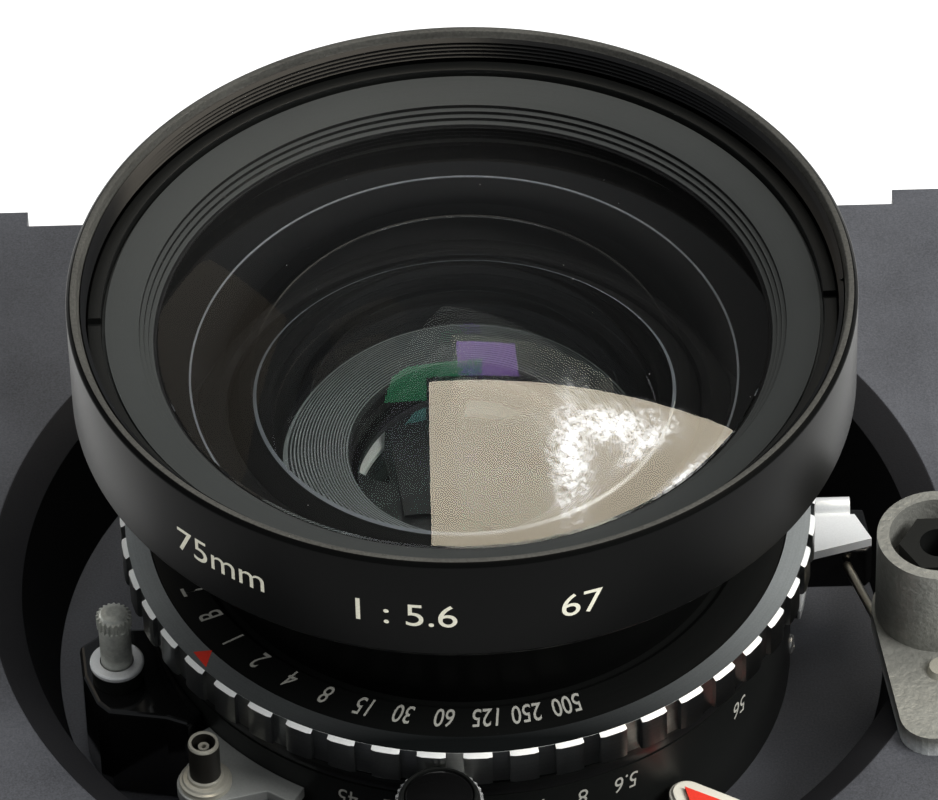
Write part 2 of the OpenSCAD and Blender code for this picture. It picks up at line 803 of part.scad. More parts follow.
module rear_glass() {
    apex = 0.6;
    thick = 3.4;
    color([0.5, 0.55, 0.52, 0.5]) difference() {
        intersection() {
            rotate_extrude() polygon([[0, 0], [rear_glass_r, 0], [rear_glass_r, rear_edge],
                [rear_mount_r, rear_edge], [rear_mount_r, rear_seat], [0, rear_seat]]);
            at_level(apex + rear_curve) sphere(r = rear_curve, $fn = 128);
        }
        at_level(apex + thick + rear_hollow) sphere(r = rear_hollow, $fn = 128);
    }
}

module rear_retaining_ring() {
    slot_w = 1.6;
    low = 0.6;
    outer = rear_r - 2;
    color([0.12, 0.12, 0.13]) difference() {
        rotate_extrude() polygon([[outer, low], [outer, rear_edge], [rear_glass_r, rear_edge],
            [rear_glass_r, low + 1.6], [rear_glass_r + 1.5, low]]);
        for (a = [90, 270]) around(a) translate([rear_glass_r + 1.8, -slot_w / 2, low - cut])
            cube([6, slot_w, 0.8 + cut]);
    }
}

// ------------------------------------------------------------ release bracket

module release_bracket() {
    bore_r = boss_r - 1.1;
    color([0.74, 0.75, 0.76]) difference() {
        union() {
            at_level(board_z) linear_extrude(bracket_t) hull() {
                for (x = [41, 44.8]) translate([x, -22.6]) circle(r = 3, $fn = 32);
                translate(boss_at) circle(r = boss_r + 0.3, $fn = 64);
            }
            translate([boss_at[0], boss_at[1], board_z])
                cylinder(r = boss_r, h = boss_top - board_z);
            intersection() {
                translate([boss_at[0], boss_at[1], rod_z - 1.5])
                    cylinder(r = boss_r - 0.2, h = 3.5);
                cylinder(r = recess_throat_r - 0.8, h = board_z + 1);
            }
        }
        translate([boss_at[0], boss_at[1], boss_top - 6]) cylinder(r = bore_r, h = 10);
        translate([screw_at[0], screw_at[1], board_z - cut]) cylinder(r = 0.8, h = 5, $fn = 32);
        along_rod() cylinder(r = rod_r + play, h = rod_len + 0.3, $fn = 32);
    }
}

module release_bush() {
    color([0.5, 0.5, 0.5]) translate([boss_at[0], boss_at[1], boss_top - 6]) difference() {
        union() {
            cylinder(r = boss_r - 1.1, h = 2);
            cylinder(r = 3.6, h = 5, $fn = 6);
        }
        at_level(1) cylinder(r = 1.75, h = 10, $fn = 48);
    }
}

module bracket_screws() {
    color([0.7, 0.68, 0.6]) translate([screw_at[0], screw_at[1], board_z]) {
        cylinder(r = 0.8, h = bracket_t + eps, $fn = 32);
        at_level(bracket_t) cylinder(r1 = 1.35, r2 = 1.1, h = 0.6, $fn = 32);
    }
}

lens_board();
jam_ring();
shutter_case();
blade_plate();
front_deck();
lever_spacer_lower();
lever_spacer_upper();
numeral_plate();
speed_ring();
aperture_ring();
aperture_pointer();
pointer_arrow();
blade_drive_ring();
cocking_lever();
cocking_knob();
cocking_knob_cap();
release_lever();
release_pad();
push_rod();
preview_block();
preview_bush();
preview_button();
sync_block();
sync_plate();
sync_socket();
sync_insulator();
sync_contact();
front_barrel();
front_retaining_ring();
front_trim_ring();
front_glass();
inner_retaining_ring();
second_glass();
light_baffle();
front_doublet();
rear_barrel();
rear_doublet();
rear_inner_ring();
rear_glass();
rear_retaining_ring();
release_bracket();
release_bush();
bracket_screws();
for (i = [0 : BLADES - 1]) {
    iris_blade(i);
    shutter_blade(i);
}
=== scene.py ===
# %% [markdown]
# # A view-camera lens in its leaf shutter
# A lens like this is mostly turned metal: rings, cones and steps that share one axis.
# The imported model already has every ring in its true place, so this script reads the
# sizes from it, spins finer rings in the same places, and gives each surface its finish.

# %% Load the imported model
import json
import math

import bmesh
import bpy
from mathutils import Matrix, Vector


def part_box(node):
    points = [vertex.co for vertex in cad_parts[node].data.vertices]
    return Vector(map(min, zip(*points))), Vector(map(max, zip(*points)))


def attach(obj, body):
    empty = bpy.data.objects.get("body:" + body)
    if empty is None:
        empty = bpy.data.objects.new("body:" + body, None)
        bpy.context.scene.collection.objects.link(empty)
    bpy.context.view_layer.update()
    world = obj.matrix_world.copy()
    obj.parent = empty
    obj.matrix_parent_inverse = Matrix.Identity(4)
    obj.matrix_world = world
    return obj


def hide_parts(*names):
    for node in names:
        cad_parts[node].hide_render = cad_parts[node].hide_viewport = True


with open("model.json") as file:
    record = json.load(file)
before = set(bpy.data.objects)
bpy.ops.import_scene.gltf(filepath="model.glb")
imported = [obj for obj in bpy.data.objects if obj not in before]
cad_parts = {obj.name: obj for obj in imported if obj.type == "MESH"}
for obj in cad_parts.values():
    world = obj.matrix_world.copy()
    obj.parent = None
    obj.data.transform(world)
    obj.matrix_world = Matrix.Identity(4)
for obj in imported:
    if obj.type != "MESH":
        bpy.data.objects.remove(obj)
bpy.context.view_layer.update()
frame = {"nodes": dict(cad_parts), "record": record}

RECORD = frame["record"]
BODY_OF = {node: body for body, nodes in RECORD["behaviour"]["bodies"].items() for node in nodes}

# %% [markdown]
# ## Sizes
# All drawing below is in millimetres, because that is how the parts are dimensioned.
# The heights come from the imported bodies, so a ring that moves there moves here too.

# %% Heights and places read from the model
MM = 0.001


def low(node, axis=2):
    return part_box(node)[0][axis] / MM


def high(node, axis=2):
    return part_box(node)[1][axis] / MM


RIM = high("front_barrel")
RIM_R = (high("front_barrel", 0) - low("front_barrel", 0)) / 2
RING_TOP = high("speed_ring")
RING_LOW = low("speed_ring")
RING_R = 31.6
BOARD = high("lens_board")
FLOOR = low("preview_block")
CASE_R = 29.5
print("rim", round(RIM, 2), "ring", round(RING_LOW, 2), round(RING_TOP, 2),
      "board", round(BOARD, 2), "recess floor", round(FLOOR, 2))


# %% Place a point given by angle, radius and height
def polar(angle, radius, z=0.0):
    a = math.radians(angle)
    return Vector((radius * math.cos(a), radius * math.sin(a), z))


# %% Small helpers for node trees
def add_node(tree, kind, inputs=None, **settings):
    """inputs: {socket: a plain value, or the output that feeds it}."""
    node = tree.nodes.new(kind)
    for key, value in settings.items():
        setattr(node, key, value)
    for socket, value in (inputs or {}).items():
        if hasattr(value, "is_linked"):
            tree.links.new(value, node.inputs[socket])
        else:
            node.inputs[socket].default_value = value
    return node


def calc(tree, operation, a, b=None, c=None):
    given = {i: value for i, value in enumerate((a, b, c)) if value is not None}
    return add_node(tree, "ShaderNodeMath", given, operation=operation).outputs[0]


def place_on_piece(tree):
    return add_node(tree, "ShaderNodeTexCoord").outputs["Object"]


def new_group(name, inputs, outputs):
    """inputs: (label, value) pairs; outputs: labels. All of them are plain numbers."""
    group = bpy.data.node_groups.new(name, "ShaderNodeTree")
    for label, value in inputs:
        group.interface.new_socket(label, in_out="INPUT",
                                   socket_type="NodeSocketFloat").default_value = value
    for label in outputs:
        group.interface.new_socket(label, in_out="OUTPUT", socket_type="NodeSocketFloat")
    print("group", name)
    return (group, group.nodes.new("NodeGroupInput").outputs,
            group.nodes.new("NodeGroupOutput").inputs)


# %% [markdown]
# ## Camera
# The camera looks from in front and well above, through a long lens, so the rings are
# flat ellipses with almost no perspective. A small roll tips the whole board.

# %% Camera
CAMERA_AT = Vector((0.000385, -0.4691, 0.5152))
CAMERA_TILT = 43.84
CAMERA_ROLL = -1.49

lens_camera = bpy.data.objects.new("camera", bpy.data.cameras.new("camera"))
bpy.context.collection.objects.link(lens_camera)
lens_camera.data.lens = 278.6
lens_camera.data.sensor_width = 36
lens_camera.data.clip_start = 0.01
lens_camera.data.clip_end = 50
tilt = math.radians(90 - CAMERA_TILT)
roll = math.radians(CAMERA_ROLL)
lens_camera.matrix_world = (Matrix.Translation(CAMERA_AT) @ Matrix.Rotation(tilt, 4, "X")
                            @ Matrix.Rotation(roll, 4, "Z"))
bpy.context.scene.camera = lens_camera
bpy.context.scene.view_settings.view_transform = "Standard"
print("camera", [round(c, 4) for c in lens_camera.location])

# %% [markdown]
# ## Light and ground
# A product table: one pale sweep of floor that goes nearly white, a soft light all
# round, and one wide diffuser overhead on the right whose reflection is the pale patch
# in the front glass. The diffuser is a glowing sheet that only shows in reflections, so
# its brightness in the glass and the light on the metal can be set one at a time.


# %% Glowing sheets and lamps
def glow(name, colour, strength, in_satin):
    """strength is what polished faces see; in_satin is what rougher metal sees."""
    mat = bpy.data.materials.new(name)
    mat.use_nodes = True
    tree = mat.node_tree
    tree.nodes.clear()
    path = add_node(tree, "ShaderNodeLightPath")
    power = add_node(tree, "ShaderNodeMapRange", {
        "Value": path.outputs["Is Singular Ray"], "To Min": in_satin, "To Max": strength})
    lamp = add_node(tree, "ShaderNodeEmission", {
        "Color": (*colour, 1), "Strength": power.outputs["Result"]})
    add_node(tree, "ShaderNodeOutputMaterial", {"Surface": lamp.outputs[0]})
    return mat


def sheet_of_light(name, corners, colour, strength, in_satin=0.0):
    mesh = bpy.data.meshes.new(name)
    mesh.from_pydata(corners, [], [tuple(range(len(corners)))])
    mesh.materials.append(glow(name, colour, strength, in_satin))
    sheet = bpy.data.objects.new(name, mesh)
    bpy.context.collection.objects.link(sheet)
    sheet.visible_camera = False
    sheet.visible_diffuse = False
    sheet.visible_shadow = False


def area_lamp(name, at, aim, size, watts):
    lamp = bpy.data.objects.new(name, bpy.data.lights.new(name, "AREA"))
    bpy.context.collection.objects.link(lamp)
    lamp.data.shape = "RECTANGLE"
    lamp.data.size, lamp.data.size_y = size
    lamp.data.energy = watts
    lamp.location = at
    lamp.rotation_euler = (Vector(aim) - Vector(at)).to_track_quat("-Z", "Y").to_euler()
    lamp.visible_glossy = False


# %% The sheets and lamps of this table
WARM = (1.0, 0.9, 0.76)
DIFFUSER_H = 0.9
GLEAM_H = 0.88
FLOOR_GLEAM_H = 0.0006
sheet_of_light("diffuser", [(-0.063, -0.30, DIFFUSER_H), (1.3, -0.30, DIFFUSER_H),
                            (1.3, 0.505, DIFFUSER_H), (-0.063, 0.51, DIFFUSER_H)],
               (1.0, 0.91, 0.76), 14.0, 2.6)
side_wall = [(-0.337, 0.836, 0.433), (-0.272, 0.686, 0.674), (-0.40, 0.31, 0.86),
             (-0.62, 0.26, 0.74), (-0.62, 0.72, 0.30)]
sheet_of_light("side_wall", [tuple(1.5 * c for c in d) for d in side_wall], WARM, 0.36, 0.4)
# Small coloured glowing sheets farther off, seen only in reflections: painted reflections whose
# green, violet and teal stand for the colours of the lens coatings.
GLEAMS = {
    "green_gleam": ((0.10, 0.62, 0.31), 3.6, [
        (-0.14, 0.447), (-0.127, 0.524), (-0.102, 0.555), (0.032, 0.569), (0.03, 0.512),
        (-0.066, 0.512), (-0.066, 0.44)]),
    "violet_gleam": ((0.5, 0.27, 1.0), 5.6, [
        (-0.013, 0.639), (0.092, 0.629), (0.095, 0.512), (-0.011, 0.512)]),
    "teal_gleam": ((0.25, 0.8, 0.8), 2.6, [
        (-0.105, 0.376), (-0.084, 0.412), (-0.067, 0.422), (-0.067, 0.384)]),
}
for name, (colour, strength, corners) in GLEAMS.items():
    sheet_of_light(name, [(x, y, GLEAM_H) for x, y in corners], colour, strength)
area_lamp("overhead", (0.15, 0.25, 1.1), (0, 0, 0.05), (1.3, 1.1), 11)
area_lamp("left_bank", (-0.9, -0.1, 0.7), (0, 0, 0.06), (0.7, 0.9), 2.5)
area_lamp("front_fill", (0.1, -1.1, 0.6), (0, 0, 0.06), (0.8, 0.6), 0.5)
area_lamp("right_front", (0.75, -0.35, 0.75), (0.05, 0, 0.05), (0.5, 0.5), 16)
# The floor is brighter than white can show; satin metal that looks down at it sees that.
FLOOR_PATCH = [(0.075, 0.0), (1.2, 0.0), (1.2, 1.2), (0.075, 1.2)]
for side in (-1, 1):
    sheet_of_light("floor_gleam", [(side * x, y, FLOOR_GLEAM_H) for x, y in FLOOR_PATCH],
                   (1.0, 1.0, 0.98), 1.0, 2.2)

world = bpy.data.worlds.new("studio")
bpy.context.scene.world = world
world.use_nodes = True
world.node_tree.nodes["Background"].inputs["Color"].default_value = (0.9, 0.95, 1.0, 1)
world.node_tree.nodes["Background"].inputs["Strength"].default_value = 0.16

# %% [markdown]
# ## Finishes
# Each finish is one Principled shader. What many of them share is built once as a group:
# fine grain, lathe marks that follow the axis, and dust. The groups give masks, tones
# and heights; the shader itself and its plain numbers stay in the material.


# %% Group: grain, the fine tooth of paint, anodising and castings
grain, gin, gout = new_group("grain", [("Scale", 6000.0), ("Contrast", 1.0)],
                             ["Tone", "Height"])
where = place_on_piece(grain)
fine = add_node(grain, "ShaderNodeTexNoise", {"Vector": where, "Scale": gin["Scale"],
                                              "Detail": 3, "Roughness": 0.65}).outputs["Fac"]
broad = add_node(grain, "ShaderNodeTexNoise", {"Vector": where, "Scale": 90,
                                               "Detail": 2}).outputs["Fac"]
spread = calc(grain, "MULTIPLY", calc(grain, "SUBTRACT", fine, 0.5), gin["Contrast"])
drift = calc(grain, "MULTIPLY", calc(grain, "MULTIPLY", calc(
    grain, "SUBTRACT", broad, 0.5), 0.6), gin["Contrast"])
grain.links.new(calc(grain, "ADD", calc(grain, "ADD", spread, drift), 1.0), gout["Tone"])
grain.links.new(fine, gout["Height"])

# %% Group: turning, the fine rings that a lathe leaves round the axis
turning, tin, tout = new_group("turning", [("Pitch", 9000.0), ("Wander", 0.5)],
                               ["Tone", "Height"])
x, y, z = add_node(turning, "ShaderNodeSeparateXYZ", {0: place_on_piece(turning)}).outputs
radius = calc(turning, "SQRT", calc(turning, "ADD", calc(turning, "MULTIPLY", x, x),
                                    calc(turning, "MULTIPLY", y, y)))
along = add_node(turning, "ShaderNodeCombineXYZ", {
    0: calc(turning, "MULTIPLY", radius, tin["Pitch"]),
    1: calc(turning, "MULTIPLY", z, tin["Pitch"])})
lines = add_node(turning, "ShaderNodeTexNoise", {"Vector": along.outputs[0], "Scale": 1.0,
                                                 "Detail": 2}, noise_dimensions="2D")
swing = calc(turning, "MULTIPLY", calc(turning, "SUBTRACT", lines.outputs["Fac"], 0.5),
             tin["Wander"])
turning.links.new(calc(turning, "ADD", swing, 1.0), tout["Tone"])
turning.links.new(lines.outputs["Fac"], tout["Height"])

# %% Group: dust, pale flecks and faint lint that settle on everything
dust, din, dout = new_group("dust", [("Scale", 700.0), ("Cover", 0.05)], ["Mask"])
where = place_on_piece(dust)
cells = add_node(dust, "ShaderNodeTexVoronoi", {"Vector": where, "Scale": din["Scale"]})
patch = add_node(dust, "ShaderNodeTexNoise", {"Vector": where, "Scale": 160})
near = calc(dust, "LESS_THAN", cells.outputs["Distance"],
            calc(dust, "MULTIPLY", patch.outputs["Fac"], din["Cover"]))
dust.links.new(near, dout["Mask"])

# %% Group: smear, a soft-edged oval of powdery dust, placed by its middle, size and turn
smear, put, given = new_group("smear", [("X", 0.0), ("Y", 0.0), ("Length", 0.01),
                                        ("Width", 0.003), ("Turn", 0.0)], ["Mask"])
where = place_on_piece(smear)
x, y, z = add_node(smear, "ShaderNodeSeparateXYZ", {0: where}).outputs
dx = calc(smear, "SUBTRACT", x, put["X"])
dy = calc(smear, "SUBTRACT", y, put["Y"])
cosine = calc(smear, "COSINE", put["Turn"])
sine = calc(smear, "SINE", put["Turn"])
u = calc(smear, "DIVIDE", calc(smear, "MULTIPLY_ADD", dx, cosine,
                               calc(smear, "MULTIPLY", dy, sine)), put["Length"])
v = calc(smear, "DIVIDE", calc(smear, "SUBTRACT", calc(smear, "MULTIPLY", dy, cosine),
                               calc(smear, "MULTIPLY", dx, sine)), put["Width"])
away = calc(smear, "SQRT", calc(smear, "MULTIPLY_ADD", u, u, calc(smear, "MULTIPLY", v, v)))
ragged = add_node(smear, "ShaderNodeTexNoise", {"Vector": where, "Scale": 1500, "Detail": 6,
                                                "Roughness": 0.8})
inside = calc(smear, "SUBTRACT", 1.0, away)
speckled = calc(smear, "MULTIPLY_ADD", calc(
    smear, "SUBTRACT", ragged.outputs["Fac"], 0.52), 5.0, inside)
soft = add_node(smear, "ShaderNodeClamp", {"Value": calc(
    smear, "MULTIPLY", speckled, calc(smear, "MAXIMUM", inside, 0.0))})
smear.links.new(soft.outputs[0], given["Mask"])


# %% [markdown]
# A finish is then a short list of numbers: colour, roughness, metal or not, how strong
# its grain or its lathe marks are, and how much dust lies on it.


# %% The one function that makes every opaque finish
COAT_ROUGH = 0.08
FLECK_SCALE = 900.0
FLECK_COLOUR = (0.6, 0.58, 0.52, 1)


def new_material(name, plain):
    """A material whose Principled shader has these plain values."""
    mat = bpy.data.materials.new(name)
    mat.use_nodes = True
    skin = mat.node_tree.nodes["Principled BSDF"]
    for socket, value in plain.items():
        skin.inputs[socket].default_value = value
    return mat, mat.node_tree, skin


def finish(name, colour, rough, metal=0.0, grain_size=6000.0, grain_by=0.3, marks=0.0,
           pitch=9000.0, bump=0.02, dusty=0.0, coat=0.0, specular=0.5, rough_by=0.25,
           further=None):
    """further: a second colour, an axis, and the places in mm between which it takes over."""
    mat, tree, skin = new_material(name, {
        "Metallic": metal, "Coat Weight": coat, "Coat Roughness": COAT_ROUGH,
        "Specular IOR Level": specular})
    tooth = add_node(tree, "ShaderNodeGroup", {"Scale": grain_size, "Contrast": grain_by},
                     node_tree=grain)
    tone, height = tooth.outputs["Tone"], tooth.outputs["Height"]
    if marks:
        rings = add_node(tree, "ShaderNodeGroup", {"Pitch": pitch, "Wander": marks},
                         node_tree=turning)
        tone = calc(tree, "MULTIPLY", tone, rings.outputs["Tone"])
        height = calc(tree, "ADD", calc(tree, "MULTIPLY", height, 0.4), rings.outputs["Height"])
    base = colour
    # A second colour blended in along one axis; on the speed ring's face and on the cast bracket
    # it is painted light and shade.
    if further:
        second, axis, start, end = further
        spot = add_node(tree, "ShaderNodeSeparateXYZ", {0: place_on_piece(tree)})
        blend = add_node(tree, "ShaderNodeMapRange", {
            "Value": spot.outputs[axis], "From Min": start * MM, "From Max": end * MM})
        base = add_node(tree, "ShaderNodeMix", {
            "Factor": blend.outputs["Result"], "A": (*colour, 1), "B": (*second, 1)},
            data_type="RGBA").outputs["Result"]
    paint = add_node(tree, "ShaderNodeVectorMath", {0: base, "Scale": tone},
                     operation="SCALE").outputs[0]
    if dusty:
        flecks = add_node(tree, "ShaderNodeGroup", {"Scale": FLECK_SCALE, "Cover": dusty},
                          node_tree=dust)
        paint = add_node(tree, "ShaderNodeMix", {
            "Factor": flecks.outputs["Mask"], "A": paint, "B": FLECK_COLOUR},
            data_type="RGBA").outputs["Result"]
    tree.links.new(paint, skin.inputs["Base Color"])
    uneven = calc(tree, "MULTIPLY", calc(tree, "SUBTRACT", tone, 1.0), rough_by)
    tree.links.new(calc(tree, "MULTIPLY", calc(tree, "ADD", uneven, 1.0), rough),
                   skin.inputs["Roughness"])
    relief = add_node(tree, "ShaderNodeBump", {"Strength": 1.0, "Distance": bump * MM,
                                               "Height": height})
    tree.links.new(relief.outputs[0], skin.inputs["Normal"])
    return mat


# %% Finishes of the board, the barrel and the rings inside it
BOARD_GREY = finish("board_grey", (0.060, 0.062, 0.069), 0.55, grain_size=5200, grain_by=1.5,
                    bump=0.03, dusty=0.02, specular=0.35)
# The recess wall and the bevel at its mouth are coloured near black, far darker than the board
# grey of the dish floor.
RECESS_BLACK = finish("recess_black", (0.004, 0.004, 0.004), 0.5, grain_by=0.8, bump=0.02,
                      specular=0.05)
BEVEL_BLACK = finish("bevel_black", (0.012, 0.012, 0.013), 0.5, grain_by=0.8, bump=0.02,
                     specular=0.12)
BARREL_BLACK = finish("barrel_black", (0.0022, 0.0023, 0.0022), 0.34, grain_by=0.5, marks=0.25,
                      bump=0.006, dusty=0.004, specular=0.04)
LIP_BLACK = finish("lip_black", (0.045, 0.044, 0.039), 0.6, grain_by=1.8, grain_size=3600,
                   bump=0.05, dusty=0.03, specular=0.3)
THREAD_BLACK = finish("thread_black", (0.005, 0.005, 0.005), 0.2, grain_by=0.3, bump=0.003,
                      specular=0.35)
TRIM_GREY = finish("trim_grey", (0.026, 0.028, 0.027), 0.5, grain_by=0.3, marks=0.12,
                   bump=0.006, dusty=0.012, specular=0.2)
STEP_BLACK = finish("step_black", (0.006, 0.006, 0.006), 0.4, grain_by=0.3, bump=0.004,
                    specular=0.15)
BAFFLE_GREY = finish("baffle_grey", (0.056, 0.062, 0.062), 0.5, grain_by=0.3, bump=0.004,
                     specular=0.1)
RIB_SHADE = finish("rib_shade", (0.008, 0.009, 0.009), 0.6, grain_by=0.3, bump=0.004,
                   specular=0.03)
INNER_BLACK = finish("inner_black", (0.003, 0.003, 0.003), 0.6, grain_by=0.5, bump=0.01,
                     specular=0.03)
# A lighter grey for thin rings at the margins of the glass: a painted highlight that stands for
# an edge catching the light.
EDGE_GLINT_PAINT = finish("edge_painted_glint", (0.045, 0.05, 0.056), 0.4, grain_by=0.2, bump=0.002)
print("finishes", len(bpy.data.materials))

# %% Finishes of the shutter: plates, rings, levers and small steel parts
PLATE_BLACK = finish("plate_black", (0.005, 0.0053, 0.005), 0.38, grain_by=0.6, marks=0.3,
                     bump=0.006, dusty=0.012, specular=0.3)
CASE_BLACK = finish("case_black", (0.007, 0.0075, 0.007), 0.4, grain_by=0.6, bump=0.008,
                    dusty=0.01, specular=0.25)
# The speed ring's face blends from dark at the front to light grey at the back (Y -29.5 to -11
# mm): a painted sheen that stands for the turned face reflecting the pale room.
RING_FACE_PAINTED_SHEEN = finish("ring_satin", (0.014, 0.016, 0.016), 0.42, metal=0.6,
                    further=((0.46, 0.49, 0.49), "Y", -29.5, -11.0), grain_by=0.4, marks=0.35,
                    pitch=14000, bump=0.004)
RING_SIDE = finish("ring_side", (0.30, 0.31, 0.31), 0.3, metal=1.0, grain_by=0.3, marks=0.3,
                   pitch=12000, bump=0.003)
RING_CHAMFER = finish("ring_chamfer", (0.88, 0.89, 0.86), 0.3, metal=0.3, grain_by=0.15,
                      marks=0.1, bump=0.002)
CHROME = finish("chrome", (0.8, 0.8, 0.78), 0.2, metal=0.75, grain_by=0.15, bump=0.002)
PLATED = finish("plated", (0.80, 0.81, 0.80), 0.28, metal=0.4, grain_by=0.2, bump=0.003)
FLAG_PLATE = finish("flag_plate", (0.012, 0.012, 0.012), 0.28, metal=0.4, grain_by=0.2,
                    bump=0.003, further=((0.86, 0.87, 0.86), "X", 29.6, 30.2))
LEVER_PLATE = finish("lever_plate", (0.012, 0.012, 0.012), 0.28, metal=0.5, grain_by=0.2,
                     bump=0.003, further=((0.8, 0.8, 0.78), "Y", -29.6, -30.6))
SATIN_STEEL = finish("satin_steel", (0.40, 0.41, 0.39), 0.4, metal=0.5, grain_by=0.35,
                     bump=0.006)
BRUSHED = finish("brushed", (0.44, 0.45, 0.41), 0.42, metal=0.6, grain_size=2600, grain_by=0.9,
                 bump=0.01)
ROD_STEEL = finish("rod_steel", (0.55, 0.52, 0.45), 0.3, metal=1.0, grain_by=0.4, bump=0.004)
BLADE_STEEL = finish("blade_steel", (0.006, 0.006, 0.0065), 0.45, grain_by=0.4, bump=0.003,
                     specular=0.15)
print("finishes", len(bpy.data.materials))

# %% Paints, enamels, castings and the floor
GLOSS_BLACK = finish("gloss_black", (0.004, 0.004, 0.004), 0.12, grain_by=0.2, bump=0.002,
                     coat=0.4)
IVORY_PAINT = finish("ivory_paint", (0.60, 0.58, 0.47), 0.5, grain_by=0.5, bump=0.01)
IVORY_ENAMEL = finish("ivory_enamel", (0.72, 0.69, 0.58), 0.28, grain_by=0.15, bump=0.004,
                      coat=0.3)
NUMERAL_PAINT = finish("numeral_paint", (0.40, 0.395, 0.35), 0.55, grain_by=0.6, bump=0.01)
RED_ENAMEL = finish("red_enamel", (0.80, 0.05, 0.03), 0.3, grain_by=0.3, bump=0.004, coat=0.3)
# The one casting of the release bracket is coloured bright below 44.2 mm and dark olive above
# 45.6 mm: painted light on its low pad and painted shade on its boss and sloping arm.
CAST_PAINTED_LIGHT_AND_SHADE = finish("cast_alloy", (0.78, 0.80, 0.78), 0.38, metal=0.45, grain_size=1700, grain_by=0.7,
              bump=0.10, rough_by=0.6, specular=0.4,
              further=((0.24, 0.24, 0.215), "Z", 44.2, 45.6))
SOCKET_BLACK = finish("socket_black", (0.014, 0.013, 0.011), 0.35, grain_by=0.4, bump=0.004)
TINNED = finish("tinned", (0.52, 0.50, 0.42), 0.3, metal=0.6, grain_by=0.3, bump=0.003)
FLOOR_WHITE = finish("floor_white", (0.95, 0.95, 0.94), 0.6, grain_size=300, grain_by=0.04,
                     bump=0.0)
print("finishes", len(bpy.data.materials))


# %% [markdown]
# ### Glass
# Glass is a clear Principled shader. Light that only casts shadows is let straight
# through, because otherwise everything behind a lens would be black: a renderer does not
# bend lamp light through glass. The reflection takes the tint of the coating.


# %% Coated glass
SPECK_SCALE = 420.0


def coated_glass(name, tint, ior=1.45, specks=0.0, smears=()):
    """smears: (x, y, half length, half width) in mm and a turn in degrees."""
    mat, tree, skin = new_material(name, {
        "Base Color": (0.97, 0.985, 0.975, 1), "Transmission Weight": 1.0, "Metallic": 0.0,
        "IOR": ior, "Specular Tint": (*tint, 1), "Roughness": 0.0})
    shade = add_node(tree, "ShaderNodeLightPath").outputs["Is Shadow Ray"]
    clear = add_node(tree, "ShaderNodeBsdfTransparent").outputs[0]
    surface = add_node(tree, "ShaderNodeMixShader",
                       {0: shade, 1: skin.outputs[0], 2: clear}).outputs[0]
    if specks:
        mask = add_node(tree, "ShaderNodeGroup", {"Scale": SPECK_SCALE, "Cover": specks},
                        node_tree=dust).outputs["Mask"]
        for x, y, half, across, turn in smears:
            oval = add_node(tree, "ShaderNodeGroup", {
                "X": x * MM, "Y": y * MM, "Length": half * MM, "Width": across * MM,
                "Turn": math.radians(turn)}, node_tree=smear)
            mask = calc(tree, "MAXIMUM", mask, oval.outputs["Mask"])
        powder = add_node(tree, "ShaderNodeBsdfPrincipled", {
            "Base Color": (0.82, 0.82, 0.80, 1), "Roughness": 0.9, "Specular IOR Level": 0.1})
        surface = add_node(tree, "ShaderNodeMixShader",
                           {0: mask, 1: surface, 2: powder.outputs[0]}).outputs[0]
    tree.links.new(surface, tree.nodes["Material Output"].inputs["Surface"])
    return mat


# %% The surfaces of each element
GLASS_FRONT = coated_glass("glass_front_face", (1.0, 0.96, 0.88), ior=1.36, specks=0.028, smears=[
    (9.2, -18.0, 10.0, 3.0, 88), (12.6, -14.8, 8.0, 3.6, 3), (15.8, -16.2, 6.0, 1.5, 47),
    (18.2, -20.0, 8.5, 0.8, 50), (22.6, -15.6, 3.0, 0.6, 60)])
GLASS_BACK = coated_glass("glass_back_face", (0.001, 0.008, 0.005), ior=1.32)
SECOND_FRONT = coated_glass("second_glass_front_face", (0.016, 0.008, 0.03), ior=1.5)
SECOND_BACK = coated_glass("second_glass_back_face", (0.004, 0.016, 0.016), ior=1.5)
DOUBLET_GLASS = coated_glass("doublet_glass_coated", (0.003, 0.03, 0.025))
REAR_GLASS = coated_glass("rear_glass_coated", (0.35, 0.25, 0.55))
EDGE_PAINT = finish("edge_paint", (0.003, 0.003, 0.003), 0.6, grain_by=0.6, bump=0.004,
                    specular=0.03)
print("glass", [m.name for m in bpy.data.materials if "glass" in m.name])

# %% [markdown]
# ## Turned rings
# Every ring starts as half of its cross-section, drawn as a closed loop of (radius,
# height) pairs, with its corners eased so that edges catch the light. Spinning the loop
# round the axis gives the solid. 288 steps keep a 70 mm rim smooth.


# %% Ease the corners of a cross-section
def eased(loop, ease):
    """loop: [(radius, height, finish index)]. Each corner is cut by a short curve."""
    result = []
    count = len(loop)
    for i, (r, z, kind) in enumerate(loop):
        here = Vector((r, z))
        before = Vector(loop[i - 1][:2]) - here
        after = Vector(loop[(i + 1) % count][:2]) - here
        turn = before.angle(after, 0) if before.length and after.length else math.pi
        cut = min(ease, before.length * 0.3, after.length * 0.3)
        if cut < 0.004 or turn > math.radians(168):
            result.append((r, z, kind))
            continue
        start = here + before.normalized() * cut
        end = here + after.normalized() * cut
        for t in (0.0, 0.35, 0.65, 1.0):
            p = start.lerp(here, t).lerp(here.lerp(end, t), t)
            result.append((p.x, p.y, kind if t > 0 else loop[i - 1][2]))
    return result


# %% Objects and smooth, outward faces
def add_object(name, mesh):
    piece = bpy.data.objects.new(name, mesh)
    bpy.context.collection.objects.link(piece)
    return piece


def smooth(mesh, degrees=32):
    for face in mesh.polygons:
        face.use_smooth = True
    mesh.set_sharp_from_angle(angle=math.radians(degrees))


def outward(mesh):
    work = bmesh.new()
    work.from_mesh(mesh)
    bmesh.ops.remove_doubles(work, verts=work.verts, dist=1e-7)
    bmesh.ops.recalc_face_normals(work, faces=work.faces)
    work.to_mesh(mesh)
    work.free()


